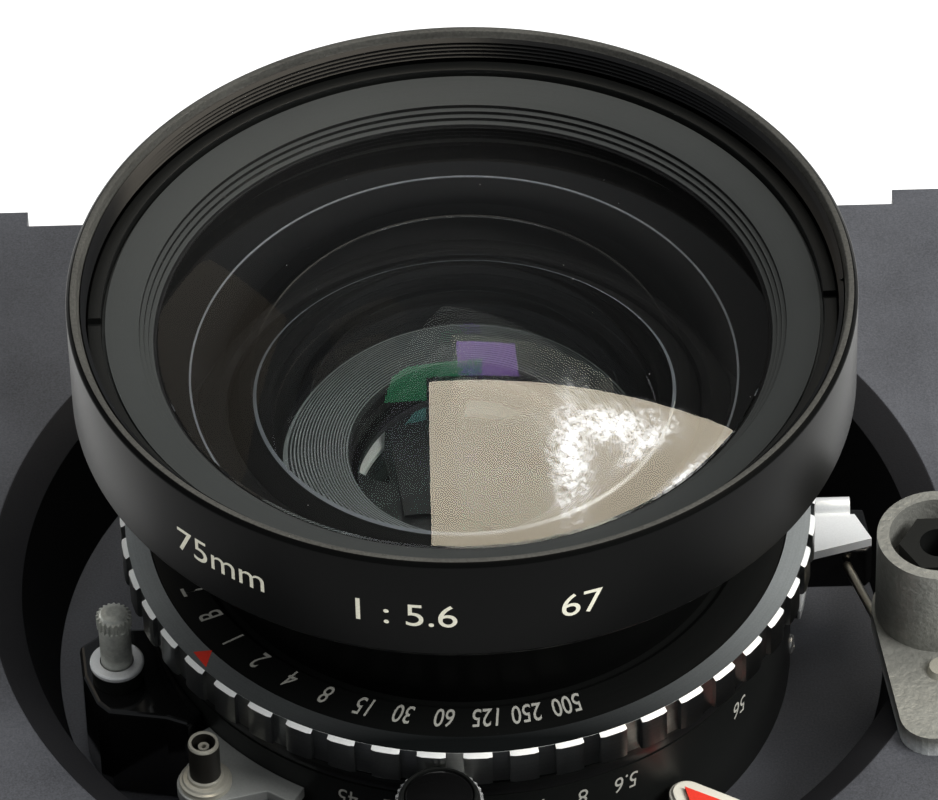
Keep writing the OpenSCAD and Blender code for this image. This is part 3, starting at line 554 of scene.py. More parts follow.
# %% Spin a cross-section into a ring
def turned_ring(name, loop, finishes, steps=288, ease=0.08, centre=(0, 0)):
    """Spins a closed loop of (radius, height[, finish index]) in mm into a solid."""
    loop = [(p[0], p[1], p[2] if len(p) > 2 else 0) for p in loop]
    if ease:
        loop = eased(loop, ease)
    verts, faces, kinds = [], [], []
    for s in range(steps):
        a = 2 * math.pi * s / steps
        for r, z, _ in loop:
            verts.append(((centre[0] + r * math.cos(a)) * MM,
                          (centre[1] + r * math.sin(a)) * MM, z * MM))
    n = len(loop)
    for s in range(steps):
        t = (s + 1) % steps
        for i in range(n):
            j = (i + 1) % n
            if loop[i][0] < 1e-6 and loop[j][0] < 1e-6:
                continue
            faces.append((s * n + i, t * n + i, t * n + j, s * n + j))
            kinds.append(loop[i][2])
    mesh = bpy.data.meshes.new(name)
    mesh.from_pydata(verts, [], faces)
    for mat in finishes:
        mesh.materials.append(mat)
    for face, kind in zip(mesh.polygons, kinds):
        face.material_index = kind
    outward(mesh)
    smooth(mesh)
    return add_object(name, mesh)


# %% Say what each piece stands for and which body carries it
def stand_for(piece, *nodes):
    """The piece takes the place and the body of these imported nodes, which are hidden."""
    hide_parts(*nodes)
    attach(piece, BODY_OF[nodes[0]])
    print(piece.name, "for", nodes, len(piece.data.polygons), "faces")


def added(piece, body):
    """The piece is extra detail on a body."""
    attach(piece, body)
    print(piece.name, "on", body, len(piece.data.polygons), "faces")


# %% [markdown]
# ## Front cell
# The front cell is a deep cup. Its rim is dull and a little rough, its side is satin
# black, and inside it is stepped: filter thread, a notched retaining ring, a grey trim
# ring that slopes to the glass, then the glass itself.

# %% Front barrel
FILTER_R = 33.1
LIP_R = FILTER_R + 0.85
TRIM_OUT = FILTER_R - 1.1
TRIM_Z = RIM - 3.4
EDGE_Z = RIM - 5.6
SKIRT_Z = RIM - 10.8
SKIRT_LOW = RIM - 12
STEM_R = 24.5
GLASS_R = 27.1
SECOND_R = 21.5
front_low = low("front_glass")
second_z = low("second_glass")
second_low = low("inner_retaining_ring")
baffle_low = low("light_baffle")
baffle_top = high("light_baffle")
barrel_low = low("front_barrel")
doublet_z = low("front_doublet")
OUTSIDE, LIP, INSIDE = 0, 1, 2
barrel = turned_ring("front_barrel_turned", [
    (RIM_R - 0.35, RIM, OUTSIDE), (RIM_R, RIM - 0.35, OUTSIDE), (RIM_R, SKIRT_Z, OUTSIDE),
    (RIM_R - 1, SKIRT_LOW, OUTSIDE), (RIM_R - 2.6, SKIRT_LOW - 0.5, OUTSIDE),
    (STEM_R + 3.4, SKIRT_LOW - 6.2, OUTSIDE), (STEM_R, SKIRT_LOW - 9, OUTSIDE),
    (STEM_R, RING_TOP - 0.5, OUTSIDE), (14.75, RING_TOP - 0.5, OUTSIDE),
    (14.75, barrel_low, INSIDE), (11.7, barrel_low, INSIDE), (11.7, doublet_z, INSIDE),
    (12.7, doublet_z, INSIDE), (12.7, baffle_low, INSIDE), (17.8, baffle_low, INSIDE),
    (17.8, baffle_top, INSIDE), (19.0, baffle_top, INSIDE), (19.0, second_z, INSIDE),
    (SECOND_R, second_z, INSIDE), (SECOND_R, second_low, INSIDE),
    (23.1, second_low, INSIDE), (23.1, front_low, INSIDE), (23.6, front_low, INSIDE),
    (29.3, SKIRT_LOW + 1.2, INSIDE), (31.3, SKIRT_LOW + 2.6, INSIDE),
    (31.3, EDGE_Z - 0.4, INSIDE), (TRIM_OUT, EDGE_Z - 0.4, INSIDE),
    (TRIM_OUT, TRIM_Z - 0.6, INSIDE), (FILTER_R + 0.72, TRIM_Z - 0.6, OUTSIDE),
    (FILTER_R + 0.72, RIM - 0.75, LIP), (LIP_R, RIM - 0.55, LIP), (LIP_R + 0.15, RIM, LIP)],
    [BARREL_BLACK, LIP_BLACK, INNER_BLACK], ease=0.12)
stand_for(barrel, "front_barrel")

# %% [markdown]
# ### The filter thread
# A thread is a ridge that climbs in a spiral. Geometry Nodes draws it: a spiral line of
# a few turns with a small triangle swept along it. The result is turned into a plain
# mesh, so nothing of the modifier is left.


# %% Geometry Nodes helpers
def geometry_tree(name, inputs):
    tree = bpy.data.node_groups.new(name, "GeometryNodeTree")
    for label, kind, value in inputs:
        socket = tree.interface.new_socket(label, in_out="INPUT", socket_type=kind)
        if value is not None:
            socket.default_value = value
    tree.interface.new_socket("Geometry", in_out="OUTPUT", socket_type="NodeSocketGeometry")
    return tree, tree.nodes.new("NodeGroupInput"), tree.nodes.new("NodeGroupOutput")


def finish_tree(tree, geometry, material, out):
    real = add_node(tree, "GeometryNodeRealizeInstances", {0: geometry})
    paint = add_node(tree, "GeometryNodeSetMaterial", {
        "Geometry": real.outputs[0], "Material": material})
    tree.links.new(paint.outputs[0], out.inputs[0])


def plain_mesh(holder):
    """The mesh that an object's curve or modifiers give; the object itself is removed."""
    mesh = bpy.data.meshes.new_from_object(
        holder.evaluated_get(bpy.context.evaluated_depsgraph_get()))
    bpy.data.objects.remove(holder)
    return mesh


def run_tree(name, tree, values):
    """Runs a tree on an empty mesh with these input values and keeps the plain mesh."""
    seed = add_object(name + "_seed", bpy.data.meshes.new(name + "_seed"))
    modifier = seed.modifiers.new("grow", "NODES")
    modifier.node_group = tree
    for item in tree.interface.items_tree:
        if item.item_type == "SOCKET" and item.in_out == "INPUT":
            modifier[item.identifier] = values[item.name]
    mesh = plain_mesh(seed)
    mesh.name = name
    return mesh


# %% Thread tree: a spiral with a triangle swept along it
thread_tree, nin, nout = geometry_tree("thread", [
    ("Radius", "NodeSocketFloat", 0.0335), ("Height", "NodeSocketFloat", 0.002),
    ("Turns", "NodeSocketFloat", 3.0), ("Depth", "NodeSocketFloat", 0.0003)])
spiral = add_node(thread_tree, "GeometryNodeCurveSpiral", {
    "Resolution": 160, "Start Radius": nin.outputs["Radius"],
    "End Radius": nin.outputs["Radius"], "Height": nin.outputs["Height"],
    "Rotations": nin.outputs["Turns"]})
tri = add_node(thread_tree, "GeometryNodeCurvePrimitiveCircle", {
    "Resolution": 3, "Radius": nin.outputs["Depth"]}, mode="RADIUS")
sweep = add_node(thread_tree, "GeometryNodeCurveToMesh", {
    "Curve": spiral.outputs[0], "Profile Curve": tri.outputs[0], "Fill Caps": True})
finish_tree(thread_tree, sweep.outputs[0], THREAD_BLACK, nout)
print("tree", thread_tree.name, len(thread_tree.nodes), "nodes")

# %% Filter thread
THREAD_H = 2.25
ridge = run_tree("filter_thread", thread_tree, {
    "Radius": (FILTER_R + 0.5) * MM, "Height": THREAD_H * MM, "Turns": 5.0,
    "Depth": 0.26 * MM})
ridge.materials.clear()
ridge.materials.append(THREAD_BLACK)
outward(ridge)
smooth(ridge, 20)
for vertex in ridge.vertices:
    vertex.co.z += (RIM - 2.9) * MM
thread = add_object("filter_thread", ridge)
added(thread, "body")

# %% Retaining ring with two spanner slots
RETAIN_TOP = RIM - 2.9


def notch(piece, at, size, turn=0.0):
    """Cuts a box out of a piece. at and size are in mm, turn in degrees about the axis."""
    cutter = bmesh.new()
    bmesh.ops.create_cube(cutter, size=1.0)
    place = (Matrix.Rotation(math.radians(turn), 4, "Z") @ Matrix.Translation(Vector(at) * MM)
             @ Matrix.Diagonal((*[s * MM for s in size], 1)))
    bmesh.ops.transform(cutter, matrix=place, verts=cutter.verts)
    mesh = bpy.data.meshes.new("cutter")
    cutter.to_mesh(mesh)
    cutter.free()
    tool = add_object("cutter", mesh)
    cut = piece.modifiers.new("notch", "BOOLEAN")
    cut.operation = "DIFFERENCE"
    cut.solver = "EXACT"
    cut.object = tool
    evaluated = piece.evaluated_get(bpy.context.evaluated_depsgraph_get())
    result = bpy.data.meshes.new_from_object(evaluated)
    piece.modifiers.remove(cut)
    piece.data = result
    smooth(result)
    bpy.data.objects.remove(tool)


retainer = turned_ring("front_retaining_turned", [
    (TRIM_OUT, TRIM_Z - 0.6), (FILTER_R + 0.1, TRIM_Z - 0.6), (FILTER_R + 0.1, RETAIN_TOP),
    (TRIM_OUT, RETAIN_TOP)], [PLATE_BLACK], ease=0.12)
for turn in (1, 181):
    notch(retainer, (FILTER_R - 0.4, 0, RETAIN_TOP), (2.6, 1.0, 1.4), turn)
stand_for(retainer, "front_retaining_ring")

# %% [markdown]
# The trim ring is a wide grey band, then a bevel, then four fine steps down to the
# glass. A dark gap parts it from the retaining ring.

# %% Trim ring
TRIM_MID = TRIM_OUT - 3.3
slope = TRIM_Z - 0.9
steps_down = []
for i in range(3):
    r, z = TRIM_MID - 0.4 * i, slope - 0.42 * i
    steps_down += [(r, z, 1), (r - 0.02, z - 0.34, 0), (r - 0.36, z - 0.42, 0)]
trim = turned_ring("front_trim_turned", [
    (GLASS_R, EDGE_Z - 0.4), (TRIM_OUT - 0.02, EDGE_Z - 0.4), (TRIM_OUT - 0.02, TRIM_Z - 0.45),
    (TRIM_OUT - 0.32, TRIM_Z - 0.45), (TRIM_OUT - 0.32, TRIM_Z)] + steps_down
    + [(TRIM_MID - 1.22, slope - 1.3, 1), (GLASS_R + 0.3, slope - 1.5, 1),
       (GLASS_R, slope - 1.75, 1)], [TRIM_GREY, STEP_BLACK], ease=0.03)
stand_for(trim, "front_trim_ring")

# %% [markdown]
# ### The glass elements
# Each surface of an element is part of a sphere, so its section is an arc. The front
# element is a deep meniscus: nearly flat in front and strongly hollow behind.


# %% Arc of a spherical surface, as (radius, height) points
def arc(apex, curve, r_from, r_to, kind=0, count=24):
    points = []
    for i in range(count + 1):
        r = r_from + (r_to - r_from) * i / count
        drop = abs(curve) - math.sqrt(curve * curve - r * r)
        points.append((r, apex - math.copysign(drop, curve), kind))
    return points


# %% Front element
FRONT_CURVE = 85.0
HOLLOW_CURVE = 32.1
FRONT_THICK = 3.0
front_apex = EDGE_Z + FRONT_CURVE - math.sqrt(FRONT_CURVE ** 2 - GLASS_R ** 2)
hollow_r = 23.3
FACE_IN, EDGE, FACE_OUT, PAINTED_GLINT = 0, 1, 2, 3
# The narrow ring between the edge paint and the hollow is painted lighter grey: a painted
# highlight of that edge.
front = turned_ring("front_glass_turned",
                    arc(front_apex, FRONT_CURVE, 0.0, GLASS_R - 0.01, FACE_IN)
                    + [(GLASS_R - 0.005, EDGE_Z - 0.35, EDGE), (31.25, EDGE_Z - 0.4, EDGE),
                       (31.25, SKIRT_LOW + 2.65, EDGE), (29.25, SKIRT_LOW + 1.25, EDGE),
                       (23.62, front_low + 0.02, EDGE), (23.5, front_low, PAINTED_GLINT)]
                    + arc(front_apex - FRONT_THICK, HOLLOW_CURVE, hollow_r, 0.0, FACE_OUT),
                    [GLASS_FRONT, EDGE_PAINT, GLASS_BACK, EDGE_GLINT_PAINT], ease=0)
stand_for(front, "front_glass")

# %% Second element and the ring that holds it
SECOND_CURVE = 42.0
second_apex = high("second_glass")
# The thin ring from 19.0 to 19.2 mm is a painted highlight; beyond it the margin has black edge
# paint.
second = turned_ring("second_glass_turned",
                     arc(second_apex, SECOND_CURVE, 0.0, 18.9, FACE_IN)
                     + arc(second_apex, SECOND_CURVE, 19.0, 19.2, PAINTED_GLINT, 2)
                     + arc(second_apex, SECOND_CURVE, 19.3, SECOND_R - 0.01, EDGE, 6)
                     + [(SECOND_R - 0.005, second_z, EDGE)]
                     + arc(second_apex - 3, 24.0, 20.9, 0.0, FACE_OUT),
                     [SECOND_FRONT, EDGE_PAINT, SECOND_BACK, EDGE_GLINT_PAINT], ease=0)
stand_for(second, "second_glass")
ring_top = high("inner_retaining_ring")
inner = turned_ring("inner_retaining_turned", [
    (SECOND_R, second_low), (SECOND_R + 1.6, second_low), (SECOND_R + 1.6, ring_top),
    (SECOND_R + 0.45, ring_top), (SECOND_R + 0.3, ring_top - 0.15),
    (SECOND_R, ring_top - 0.5)], [INNER_BLACK], ease=0.03)
stand_for(inner, "inner_retaining_ring")

# %% [markdown]
# The light baffle is a shallow cone cut into many fine steps, so that stray light
# bounces off the risers and never reaches the film. The steps follow one rule, so the
# section is computed.

# %% Light baffle
BAFFLE_OUT = 17.8
BAFFLE_IN = 12.4
RIBS = 20
rib_run = (BAFFLE_OUT - 0.25 - BAFFLE_IN) / RIBS
rib_drop = (baffle_top - baffle_low - 1.0) / RIBS
ribs = []
for i in range(RIBS):
    r = BAFFLE_OUT - 0.25 - rib_run * i
    z = baffle_top - rib_drop * i
    ribs += [(r, z), (r - rib_run * 0.55, z - rib_drop * 0.1, 1),
             (r - rib_run * 0.62, z - rib_drop - 0.14, 1),
             (r - rib_run * 0.95, z - rib_drop - 0.14, 1)]
baffle = turned_ring("light_baffle_turned",
                     [(BAFFLE_IN, baffle_low), (BAFFLE_OUT, baffle_low),
                      (BAFFLE_OUT, baffle_top)] + ribs,
                     [BAFFLE_GREY, RIB_SHADE], ease=0)
stand_for(baffle, "light_baffle")

# %% Front and rear doublets
doublet = turned_ring("front_doublet_turned",
                      arc(high("front_doublet"), 46.0, 0.0, 12.7)
                      + [(12.7, doublet_z), (0.0, doublet_z)], [DOUBLET_GLASS], ease=0)
stand_for(doublet, "front_doublet")
rear_doublet = turned_ring("rear_doublet_turned",
                           [(0.0, high("rear_doublet")), (12.7, high("rear_doublet"))]
                           + arc(low("rear_doublet"), -46.0, 12.7, 0.0), [DOUBLET_GLASS], ease=0)
stand_for(rear_doublet, "rear_doublet")

# %% [markdown]
# ## Shutter
# Under the front cell is a black disc with the speeds, framed by the speed ring. The
# ring has a satin face, lighter towards the back by a painted sheen, a bright chamfer
# and a grey side with 48 shallow finger slots.
# The ring is made as a plain core, and Geometry Nodes sets the 48 lands round it, one
# land made once and repeated.

# %% Numeral plate
hub_top = low("numeral_plate")
plate_top = RING_TOP - 0.2
plate_r = RING_R - 2.5
plate = turned_ring("numeral_plate_turned", [
    (15.05, hub_top), (plate_r, hub_top), (plate_r, plate_top), (STEM_R + 1, plate_top),
    (STEM_R + 0.6, plate_top - 0.3), (15.05, plate_top - 0.3)], [PLATE_BLACK], ease=0.18)
stand_for(plate, "numeral_plate")

# %% Speed ring core
TOOTH = 0.55
CHAMFER = 0.28
band_in = RING_R - 2.4
flange = RING_LOW + (hub_top - RING_LOW) - 0.2
FACE, BRIGHT, SIDE = 0, 1, 2
core_r = RING_R - TOOTH
face_r = core_r + 0.1
core = turned_ring("speed_ring_core", [
    (25.06, RING_LOW, SIDE), (core_r, RING_LOW, SIDE), (core_r, RING_TOP - 0.17, BRIGHT),
    (face_r, RING_TOP, FACE), (band_in, RING_TOP, SIDE), (band_in, flange, SIDE),
    (25.06, flange, SIDE)], [RING_FACE_PAINTED_SHEEN, RING_CHAMFER, RING_SIDE], ease=0)
stand_for(core, "speed_ring")

# %% One land of the ring, as a small mesh
TEETH = 48
FIRST_SLOT = -3.1
half_land = 360 / TEETH * 0.31


def one_land():
    section = [(core_r - 0.05, RING_LOW + 0.02, 0), (RING_R - 0.2, RING_LOW + 0.02, 0),
               (RING_R, RING_LOW + 0.22, 0), (RING_R, RING_TOP - CHAMFER, 1),
               (face_r, RING_TOP - 0.004, 0), (core_r - 0.05, RING_TOP - 0.15, 0)]
    verts, faces, kinds = [], [], []
    cuts = 6
    for s in range(cuts + 1):
        t = 2 * s / cuts - 1
        for r, z, _ in section:
            edge = 0.1 if abs(t) == 1 and r > core_r else 0.0
            p = polar(half_land * t, r - edge, z)
            verts.append(p * MM)
    n = len(section)
    for s in range(cuts):
        for i in range(n):
            j = (i + 1) % n
            faces.append((s * n + i, (s + 1) * n + i, (s + 1) * n + j, s * n + j))
            kinds.append(section[i][2])
    for s in (0, cuts):
        faces.append([s * n + i for i in range(n)])
        kinds.append(0)
    mesh = bpy.data.meshes.new("land")
    mesh.from_pydata(verts, [], faces)
    mesh.materials.append(RING_SIDE)
    mesh.materials.append(RING_CHAMFER)
    for face, kind in zip(mesh.polygons, kinds):
        face.material_index = kind
    outward(mesh)
    smooth(mesh, 25)
    return mesh


# %% Round tree: repeats one object about the axis
round_tree, rin, rout = geometry_tree("repeat_round", [
    ("Piece", "NodeSocketObject", None), ("Count", "NodeSocketInt", 12),
    ("First", "NodeSocketFloat", 0.0), ("Centre", "NodeSocketVector", (0.0, 0.0, 0.0)),
    ("Finish", "NodeSocketMaterial", None)])
line = add_node(round_tree, "GeometryNodeMeshLine", {
    "Count": rin.outputs["Count"], "Offset": (0, 0, 0),
    "Start Location": rin.outputs["Centre"]}, mode="OFFSET")
what = add_node(round_tree, "GeometryNodeObjectInfo", {"Object": rin.outputs["Piece"]})
which = add_node(round_tree, "GeometryNodeInputIndex").outputs[0]
step = calc(round_tree, "DIVIDE", 2 * math.pi, rin.outputs["Count"])
angle = calc(round_tree, "ADD", calc(round_tree, "MULTIPLY", which, step), rin.outputs["First"])
spin = add_node(round_tree, "ShaderNodeCombineXYZ", {"Z": angle})
place = add_node(round_tree, "GeometryNodeInstanceOnPoints", {
    "Points": line.outputs[0], "Instance": what.outputs["Geometry"],
    "Rotation": spin.outputs[0]})
real = add_node(round_tree, "GeometryNodeRealizeInstances", {0: place.outputs[0]})
# Only the faces of the first finish are painted, so that a piece can have two.
kind_now = add_node(round_tree, "GeometryNodeInputMaterialIndex").outputs[0]
first_kind = add_node(round_tree, "FunctionNodeCompare", {2: kind_now}, data_type="INT",
                      operation="EQUAL")
paint = add_node(round_tree, "GeometryNodeSetMaterial", {
    "Geometry": real.outputs[0], "Selection": first_kind.outputs[0],
    "Material": rin.outputs["Finish"]})
round_tree.links.new(paint.outputs[0], rout.inputs[0])
print("tree", round_tree.name, len(round_tree.nodes), "nodes")


def repeat_round(name, mesh, count, first, centre=(0, 0, 0)):
    """count copies of a mesh about a vertical line through centre (mm), first at degrees."""
    model = add_object(name + "_one", mesh)
    result = run_tree(name, round_tree, {
        "Piece": model, "Count": count, "First": math.radians(first),
        "Centre": [c * MM for c in centre], "Finish": mesh.materials[0]})
    bpy.data.objects.remove(model)
    smooth(result, 25)
    return add_object(name, result)


# %% The 48 lands
lands = repeat_round("speed_ring_lands", one_land(), TEETH, FIRST_SLOT + 180 / TEETH)
added(lands, "speed_ring")


# %% [markdown]
# ### Numbers
# The numbers are cut shallow and filled with paint. Each is a text curve, made a mesh,
# then laid on the plate or wrapped round a wall. Their tops point away from the axis,
# because they are read from above and behind the camera.


# %% Text as a flat mesh, height in mm, centred
CAPITAL_SHARE = 0.70


def letters(text, height, slant=0.0, narrow=1.0, weight=0.0):
    curve = bpy.data.curves.new("letters", "FONT")
    curve.body = text
    curve.size = 1.0
    curve.shear = slant
    curve.align_x = "CENTER"
    curve.align_y = "CENTER"
    curve.offset = weight
    curve.resolution_u = 6
    mesh = plain_mesh(add_object("letters", curve))
    size = height / CAPITAL_SHARE
    points = [Vector((v.co.x * size * narrow, v.co.y * size, 0)) for v in mesh.vertices]
    middle = (max(p.x for p in points) + min(p.x for p in points)) / 2
    rise = (max(p.y for p in points) + min(p.y for p in points)) / 2
    for v, p in zip(mesh.vertices, points):
        v.co = p - Vector((middle, rise, 0))
    return mesh


def gather(name, meshes, material):
    """Joins flat meshes whose points are already in mm in the frame."""
    work = bmesh.new()
    for mesh in meshes:
        work.from_mesh(mesh)
    bmesh.ops.scale(work, vec=(MM, MM, MM), verts=work.verts)
    whole = bpy.data.meshes.new(name)
    work.to_mesh(whole)
    work.free()
    whole.materials.clear()
    whole.materials.append(material)
    for face in whole.polygons:
        face.material_index = 0
    return add_object(name, whole)


# %% Speed numbers on the plate
SPEEDS = ["T", "B", "1", "2", "4", "8", "15", "30", "60", "125", "250", "500"]
SPEED_STEP = 7.85
FIRST_SPEED = -142.5 - 2 * SPEED_STEP
SPEED_R = 26.75
PAINT_UP = 0.012
numbers = []
for i, speed in enumerate(SPEEDS):
    at = FIRST_SPEED + SPEED_STEP * i
    mesh = letters(speed, 2.15, slant=0.18, narrow=0.60, weight=0.006)
    turn = Matrix.Rotation(math.radians(at - 90), 4, "Z")
    for v in mesh.vertices:
        v.co = turn @ (v.co + Vector((0, SPEED_R, 0)))
        v.co.z = plate_top + PAINT_UP
    numbers.append(mesh)
added(gather("speed_numbers", numbers, NUMERAL_PAINT), "body")

# %% Red index on the speed ring
index = bpy.data.meshes.new("speed_index")
tip = [polar(-144.1, 30.55), polar(-142.4, 29.1), polar(-139.9, 30.85)]
index.from_pydata([(p.x, p.y, RING_TOP + PAINT_UP) for p in tip], [], [(0, 2, 1)])
index_piece = gather("speed_index", [index], RED_ENAMEL)
added(index_piece, "speed_ring")


# %% Wrap flat letters round a wall
def wrapped(mesh, radius, angle, z, upside=False):
    for v in mesh.vertices:
        x, y = (-v.co.x, -v.co.y) if upside else (v.co.x, v.co.y)
        v.co = polar(angle + math.degrees(x / radius), radius, z + y)
    return mesh


# %% Aperture scale on the case and size figures on the rim
STOPS = ["5.6", "8", "11", "16", "22", "32", "45"]
FIRST_STOP, STOP_STEP, STOP_Z = -62.7, 8.3, 42.2
CASE_PAINT_R = CASE_R + 0.02
marks = [(stop, FIRST_STOP - STOP_STEP * i, STOP_Z) for i, stop in enumerate(STOPS)]
marks.append(("56", -35.5, 42.0))
scale = [wrapped(letters(stop, 1.9, slant=0.12, narrow=0.75), CASE_PAINT_R, at, z, True)
         for stop, at, z in marks]
added(gather("aperture_scale", scale, NUMERAL_PAINT), "body")
rim_text = [wrapped(letters(word, 2.6, narrow=1.05), RIM_R + 0.015, angle, RIM - 6.2)
            for word, angle in [("75mm", -128), ("1 : 5.6", -99), ("67", -74)]]
added(gather("rim_figures", rim_text, IVORY_PAINT), "body")

# %% [markdown]
# ## Lens board
# The board is a grey plate with a dished hole. The plate is a flat outline with a round
# opening, given thickness and a small bevel; the dish is spun.

# %% Outline of the board
BOARD_BACK = BOARD - 2.0
BOARD_W = high("lens_board", 0) - low("lens_board", 0)
BOARD_H = high("lens_board", 1) - low("lens_board", 1)
EAR_W, EAR_H, CORNER = 6.3, 2.0, 1.6
x1, y0, y1 = BOARD_W / 2, -BOARD_H / 2, BOARD_H / 2
outline = [(-x1 + CORNER, y0), (x1 - CORNER, y0), (x1, y0 + CORNER), (x1, y1 - CORNER),
           (x1 - CORNER, y1), (x1 - EAR_W, y1), (x1 - EAR_W, y1 - EAR_H),
           (-x1 + EAR_W, y1 - EAR_H), (-x1 + EAR_W, y1), (-x1 + CORNER, y1),
           (-x1, y1 - CORNER), (-x1, y0 + CORNER)]
print("board", round(BOARD_W, 2), "x", round(BOARD_H, 2), "mm,", len(outline), "corners")


# %% A flat plate with holes
PLATE_BEVEL = 0.12


def flat_plate(name, outlines, z_low, z_high, material):
    """A plate from closed outlines in mm; an outline inside another is a hole."""
    curve = bpy.data.curves.new(name, "CURVE")
    curve.dimensions = "2D"
    curve.fill_mode = "BOTH"
    curve.extrude = ((z_high - z_low) / 2 - PLATE_BEVEL) * MM
    curve.bevel_depth = PLATE_BEVEL * MM
    curve.bevel_resolution = 2
    curve.offset = -PLATE_BEVEL * MM
    for points in outlines:
        spline = curve.splines.new("POLY")
        spline.points.add(len(points) - 1)
        for point, (x, y) in zip(spline.points, points):
            point.co = (x * MM, y * MM, 0, 1)
        spline.use_cyclic_u = True
    mesh = plain_mesh(add_object(name + "_curve", curve))
    mesh.transform(Matrix.Translation((0, 0, (z_low + z_high) / 2 * MM)))
    mesh.materials.clear()
    mesh.materials.append(material)
    outward(mesh)
    smooth(mesh, 40)
    return add_object(name, mesh)


# %% Board plate and its dish
MOUTH_R, THROAT_R, FLOOR_R, TUBE_R = 43.8, 41.0, 38.1, 16.25
mouth = [polar(360 * i / 192, MOUTH_R + 0.1)[:2] for i in range(192)]
board = flat_plate("board_plate", [outline, mouth], BOARD_BACK, BOARD, BOARD_GREY)
bevel_z = BOARD - (MOUTH_R - THROAT_R) * 0.5
dish = turned_ring("board_dish", [
    (TUBE_R + 0.5, FLOOR - 2, 0), (FLOOR_R + 1.6, FLOOR - 2, 0), (THROAT_R + 1.6, bevel_z - 1, 0),
    (MOUTH_R + 0.12, BOARD_BACK + 0.1, 0), (MOUTH_R + 0.12, BOARD, 2), (MOUTH_R, BOARD - 0.02, 2),
    (THROAT_R, bevel_z, 1), (FLOOR_R, FLOOR, 0), (TUBE_R + 0.5, FLOOR, 0)],
    [BOARD_GREY, RECESS_BLACK, BEVEL_BLACK], ease=0.1)
stand_for(board, "lens_board")
added(dish, "body")

# %% [markdown]
# ## Small turned parts
# Knob, button and socket are turned too, round axes of their own. Their knurls are one
# tooth each, repeated by the same tree that set the lands of the speed ring.


# %% One tooth of a knurl
def middle(node):
    return ((low(node, 0) + high(node, 0)) / 2, (low(node, 1) + high(node, 1)) / 2)


def one_tooth(r_in, r_out, z_low, z_high, half, material, fall=0.0):
    plan = [(-half, r_in), (-half * 0.35, r_out), (half * 0.35, r_out), (half, r_in)]
    verts = [polar(a, r, z_low) * MM for a, r in plan]
    verts += [polar(a, r, z_high - (fall if r == r_out else 0.0)) * MM for a, r in plan]
    faces = [(0, 1, 2, 3), (4, 5, 6, 7), (0, 1, 5, 4), (1, 2, 6, 5), (2, 3, 7, 6), (3, 0, 4, 7)]
    mesh = bpy.data.meshes.new("tooth")
    mesh.from_pydata(verts, [], faces)
    mesh.materials.append(material)
    outward(mesh)
    return mesh


# %% Cocking knob and its cap
knob_c = middle("cocking_knob_cap")
k_low, k_top, k_seat = low("cocking_knob"), high("cocking_knob"), low("cocking_knob_cap")
cap_top = high("cocking_knob_cap")
knob = turned_ring("knob_core", [
    (0.9, k_low, 0), (3.62, k_low, 0), (3.62, k_top - 0.6, 1), (3.35, k_top - 0.05, 1),
    (3.28, k_top, 1), (3.1, k_top, 1), (3.1, k_seat, 1), (0.9, k_seat, 1)],
    [CHROME, CASE_BLACK], steps=96, ease=0.05, centre=knob_c)
stand_for(knob, "cocking_knob")
tooth = one_tooth(3.55, 3.9, k_low + 0.05, k_top - 0.62, 4.6, CHROME, 0.2)
knurl = repeat_round("knob_knurl", tooth, 34, 0, (*knob_c, 0))
added(knurl, "cocking_lever")
cap = turned_ring("knob_cap", arc(cap_top, 9.0, 0.0, 2.9)
                  + [(3.05, cap_top - 0.62), (3.08, k_seat), (0.0, k_seat)],
                  [GLOSS_BLACK], steps=96, ease=0, centre=knob_c)
stand_for(cap, "cocking_knob_cap")

# %% Preview button and its bush
button_c = middle("preview_button")
b_low, b_top = low("preview_button"), high("preview_button")
stem = turned_ring("button_stem", [
    (0.0, b_low), (1.44, b_low), (1.44, b_top - 1.75), (1.38, b_top - 1.6), (1.38, b_top - 0.5),
    (1.15, b_top - 0.16), (0.7, b_top - 0.03), (0.0, b_top)], [BRUSHED], steps=72, ease=0.03,
    centre=button_c)
stand_for(stem, "preview_button")
tooth = one_tooth(1.3, 1.6, b_top - 1.7, b_top - 0.36, 7.0, BRUSHED, 0.12)
teeth = repeat_round("button_teeth", tooth, 20, 0, (*button_c, 0))
added(teeth, "preview_button")
c_low, c_top = low("preview_bush"), high("preview_bush")
bush = turned_ring("button_bush", [
    (1.52, c_low, 0), (2.3, c_low, 0), (2.3, c_top - 0.7, 0), (2.38, c_top - 0.55, 1),
    (2.45, c_top - 0.45, 1), (2.45, c_top - 0.15, 1), (2.3, c_top, 1), (1.52, c_top, 0)],
    [CASE_BLACK, PLATED], steps=96, ease=0.03, centre=button_c)
stand_for(bush, "preview_bush")

# %% Sync socket
sync_c = middle("sync_socket")
s_low, s_top = low("sync_socket"), high("sync_socket")
socket = turned_ring("sync_socket_turned", [
    (0.0, s_low, 0), (2.35, s_low, 0), (2.35, s_low + 0.5, 0), (2.12, s_low + 0.6, 0),
    (2.0, s_low + 0.8, 0), (1.62, s_low + 0.86, 0), (1.6, s_low + 1.15, 0),
    (1.4, s_low + 1.3, 1), (1.4, s_top - 0.32, 0), (1.3, s_top, 0), (1.14, s_top, 0),
    (1.05, s_top - 0.15, 1), (1.05, s_low + 0.6, 1), (0.0, s_low + 0.6, 1)],
    [TINNED, SOCKET_BLACK], steps=96, ease=0.04, centre=sync_c)
stand_for(socket, "sync_socket")

# %% Screw in the side of the case
screw_z, screw_az = 36.0, -7.0
screw = turned_ring("case_screw", [
    (0.0, 0.0), (0.95, 0.0), (0.95, 0.25), (0.75, 0.42), (0.4, 0.48), (0.38, 0.3), (0.0, 0.3)],
    [CHROME], steps=48, ease=0.04)
screw.data.transform(Matrix.Rotation(math.radians(screw_az), 4, "Z")
                     @ Matrix.Translation(((CASE_R - 0.05) * MM, 0, screw_z * MM))
                     @ Matrix.Rotation(math.pi / 2, 4, "Y"))
added(screw, "body")

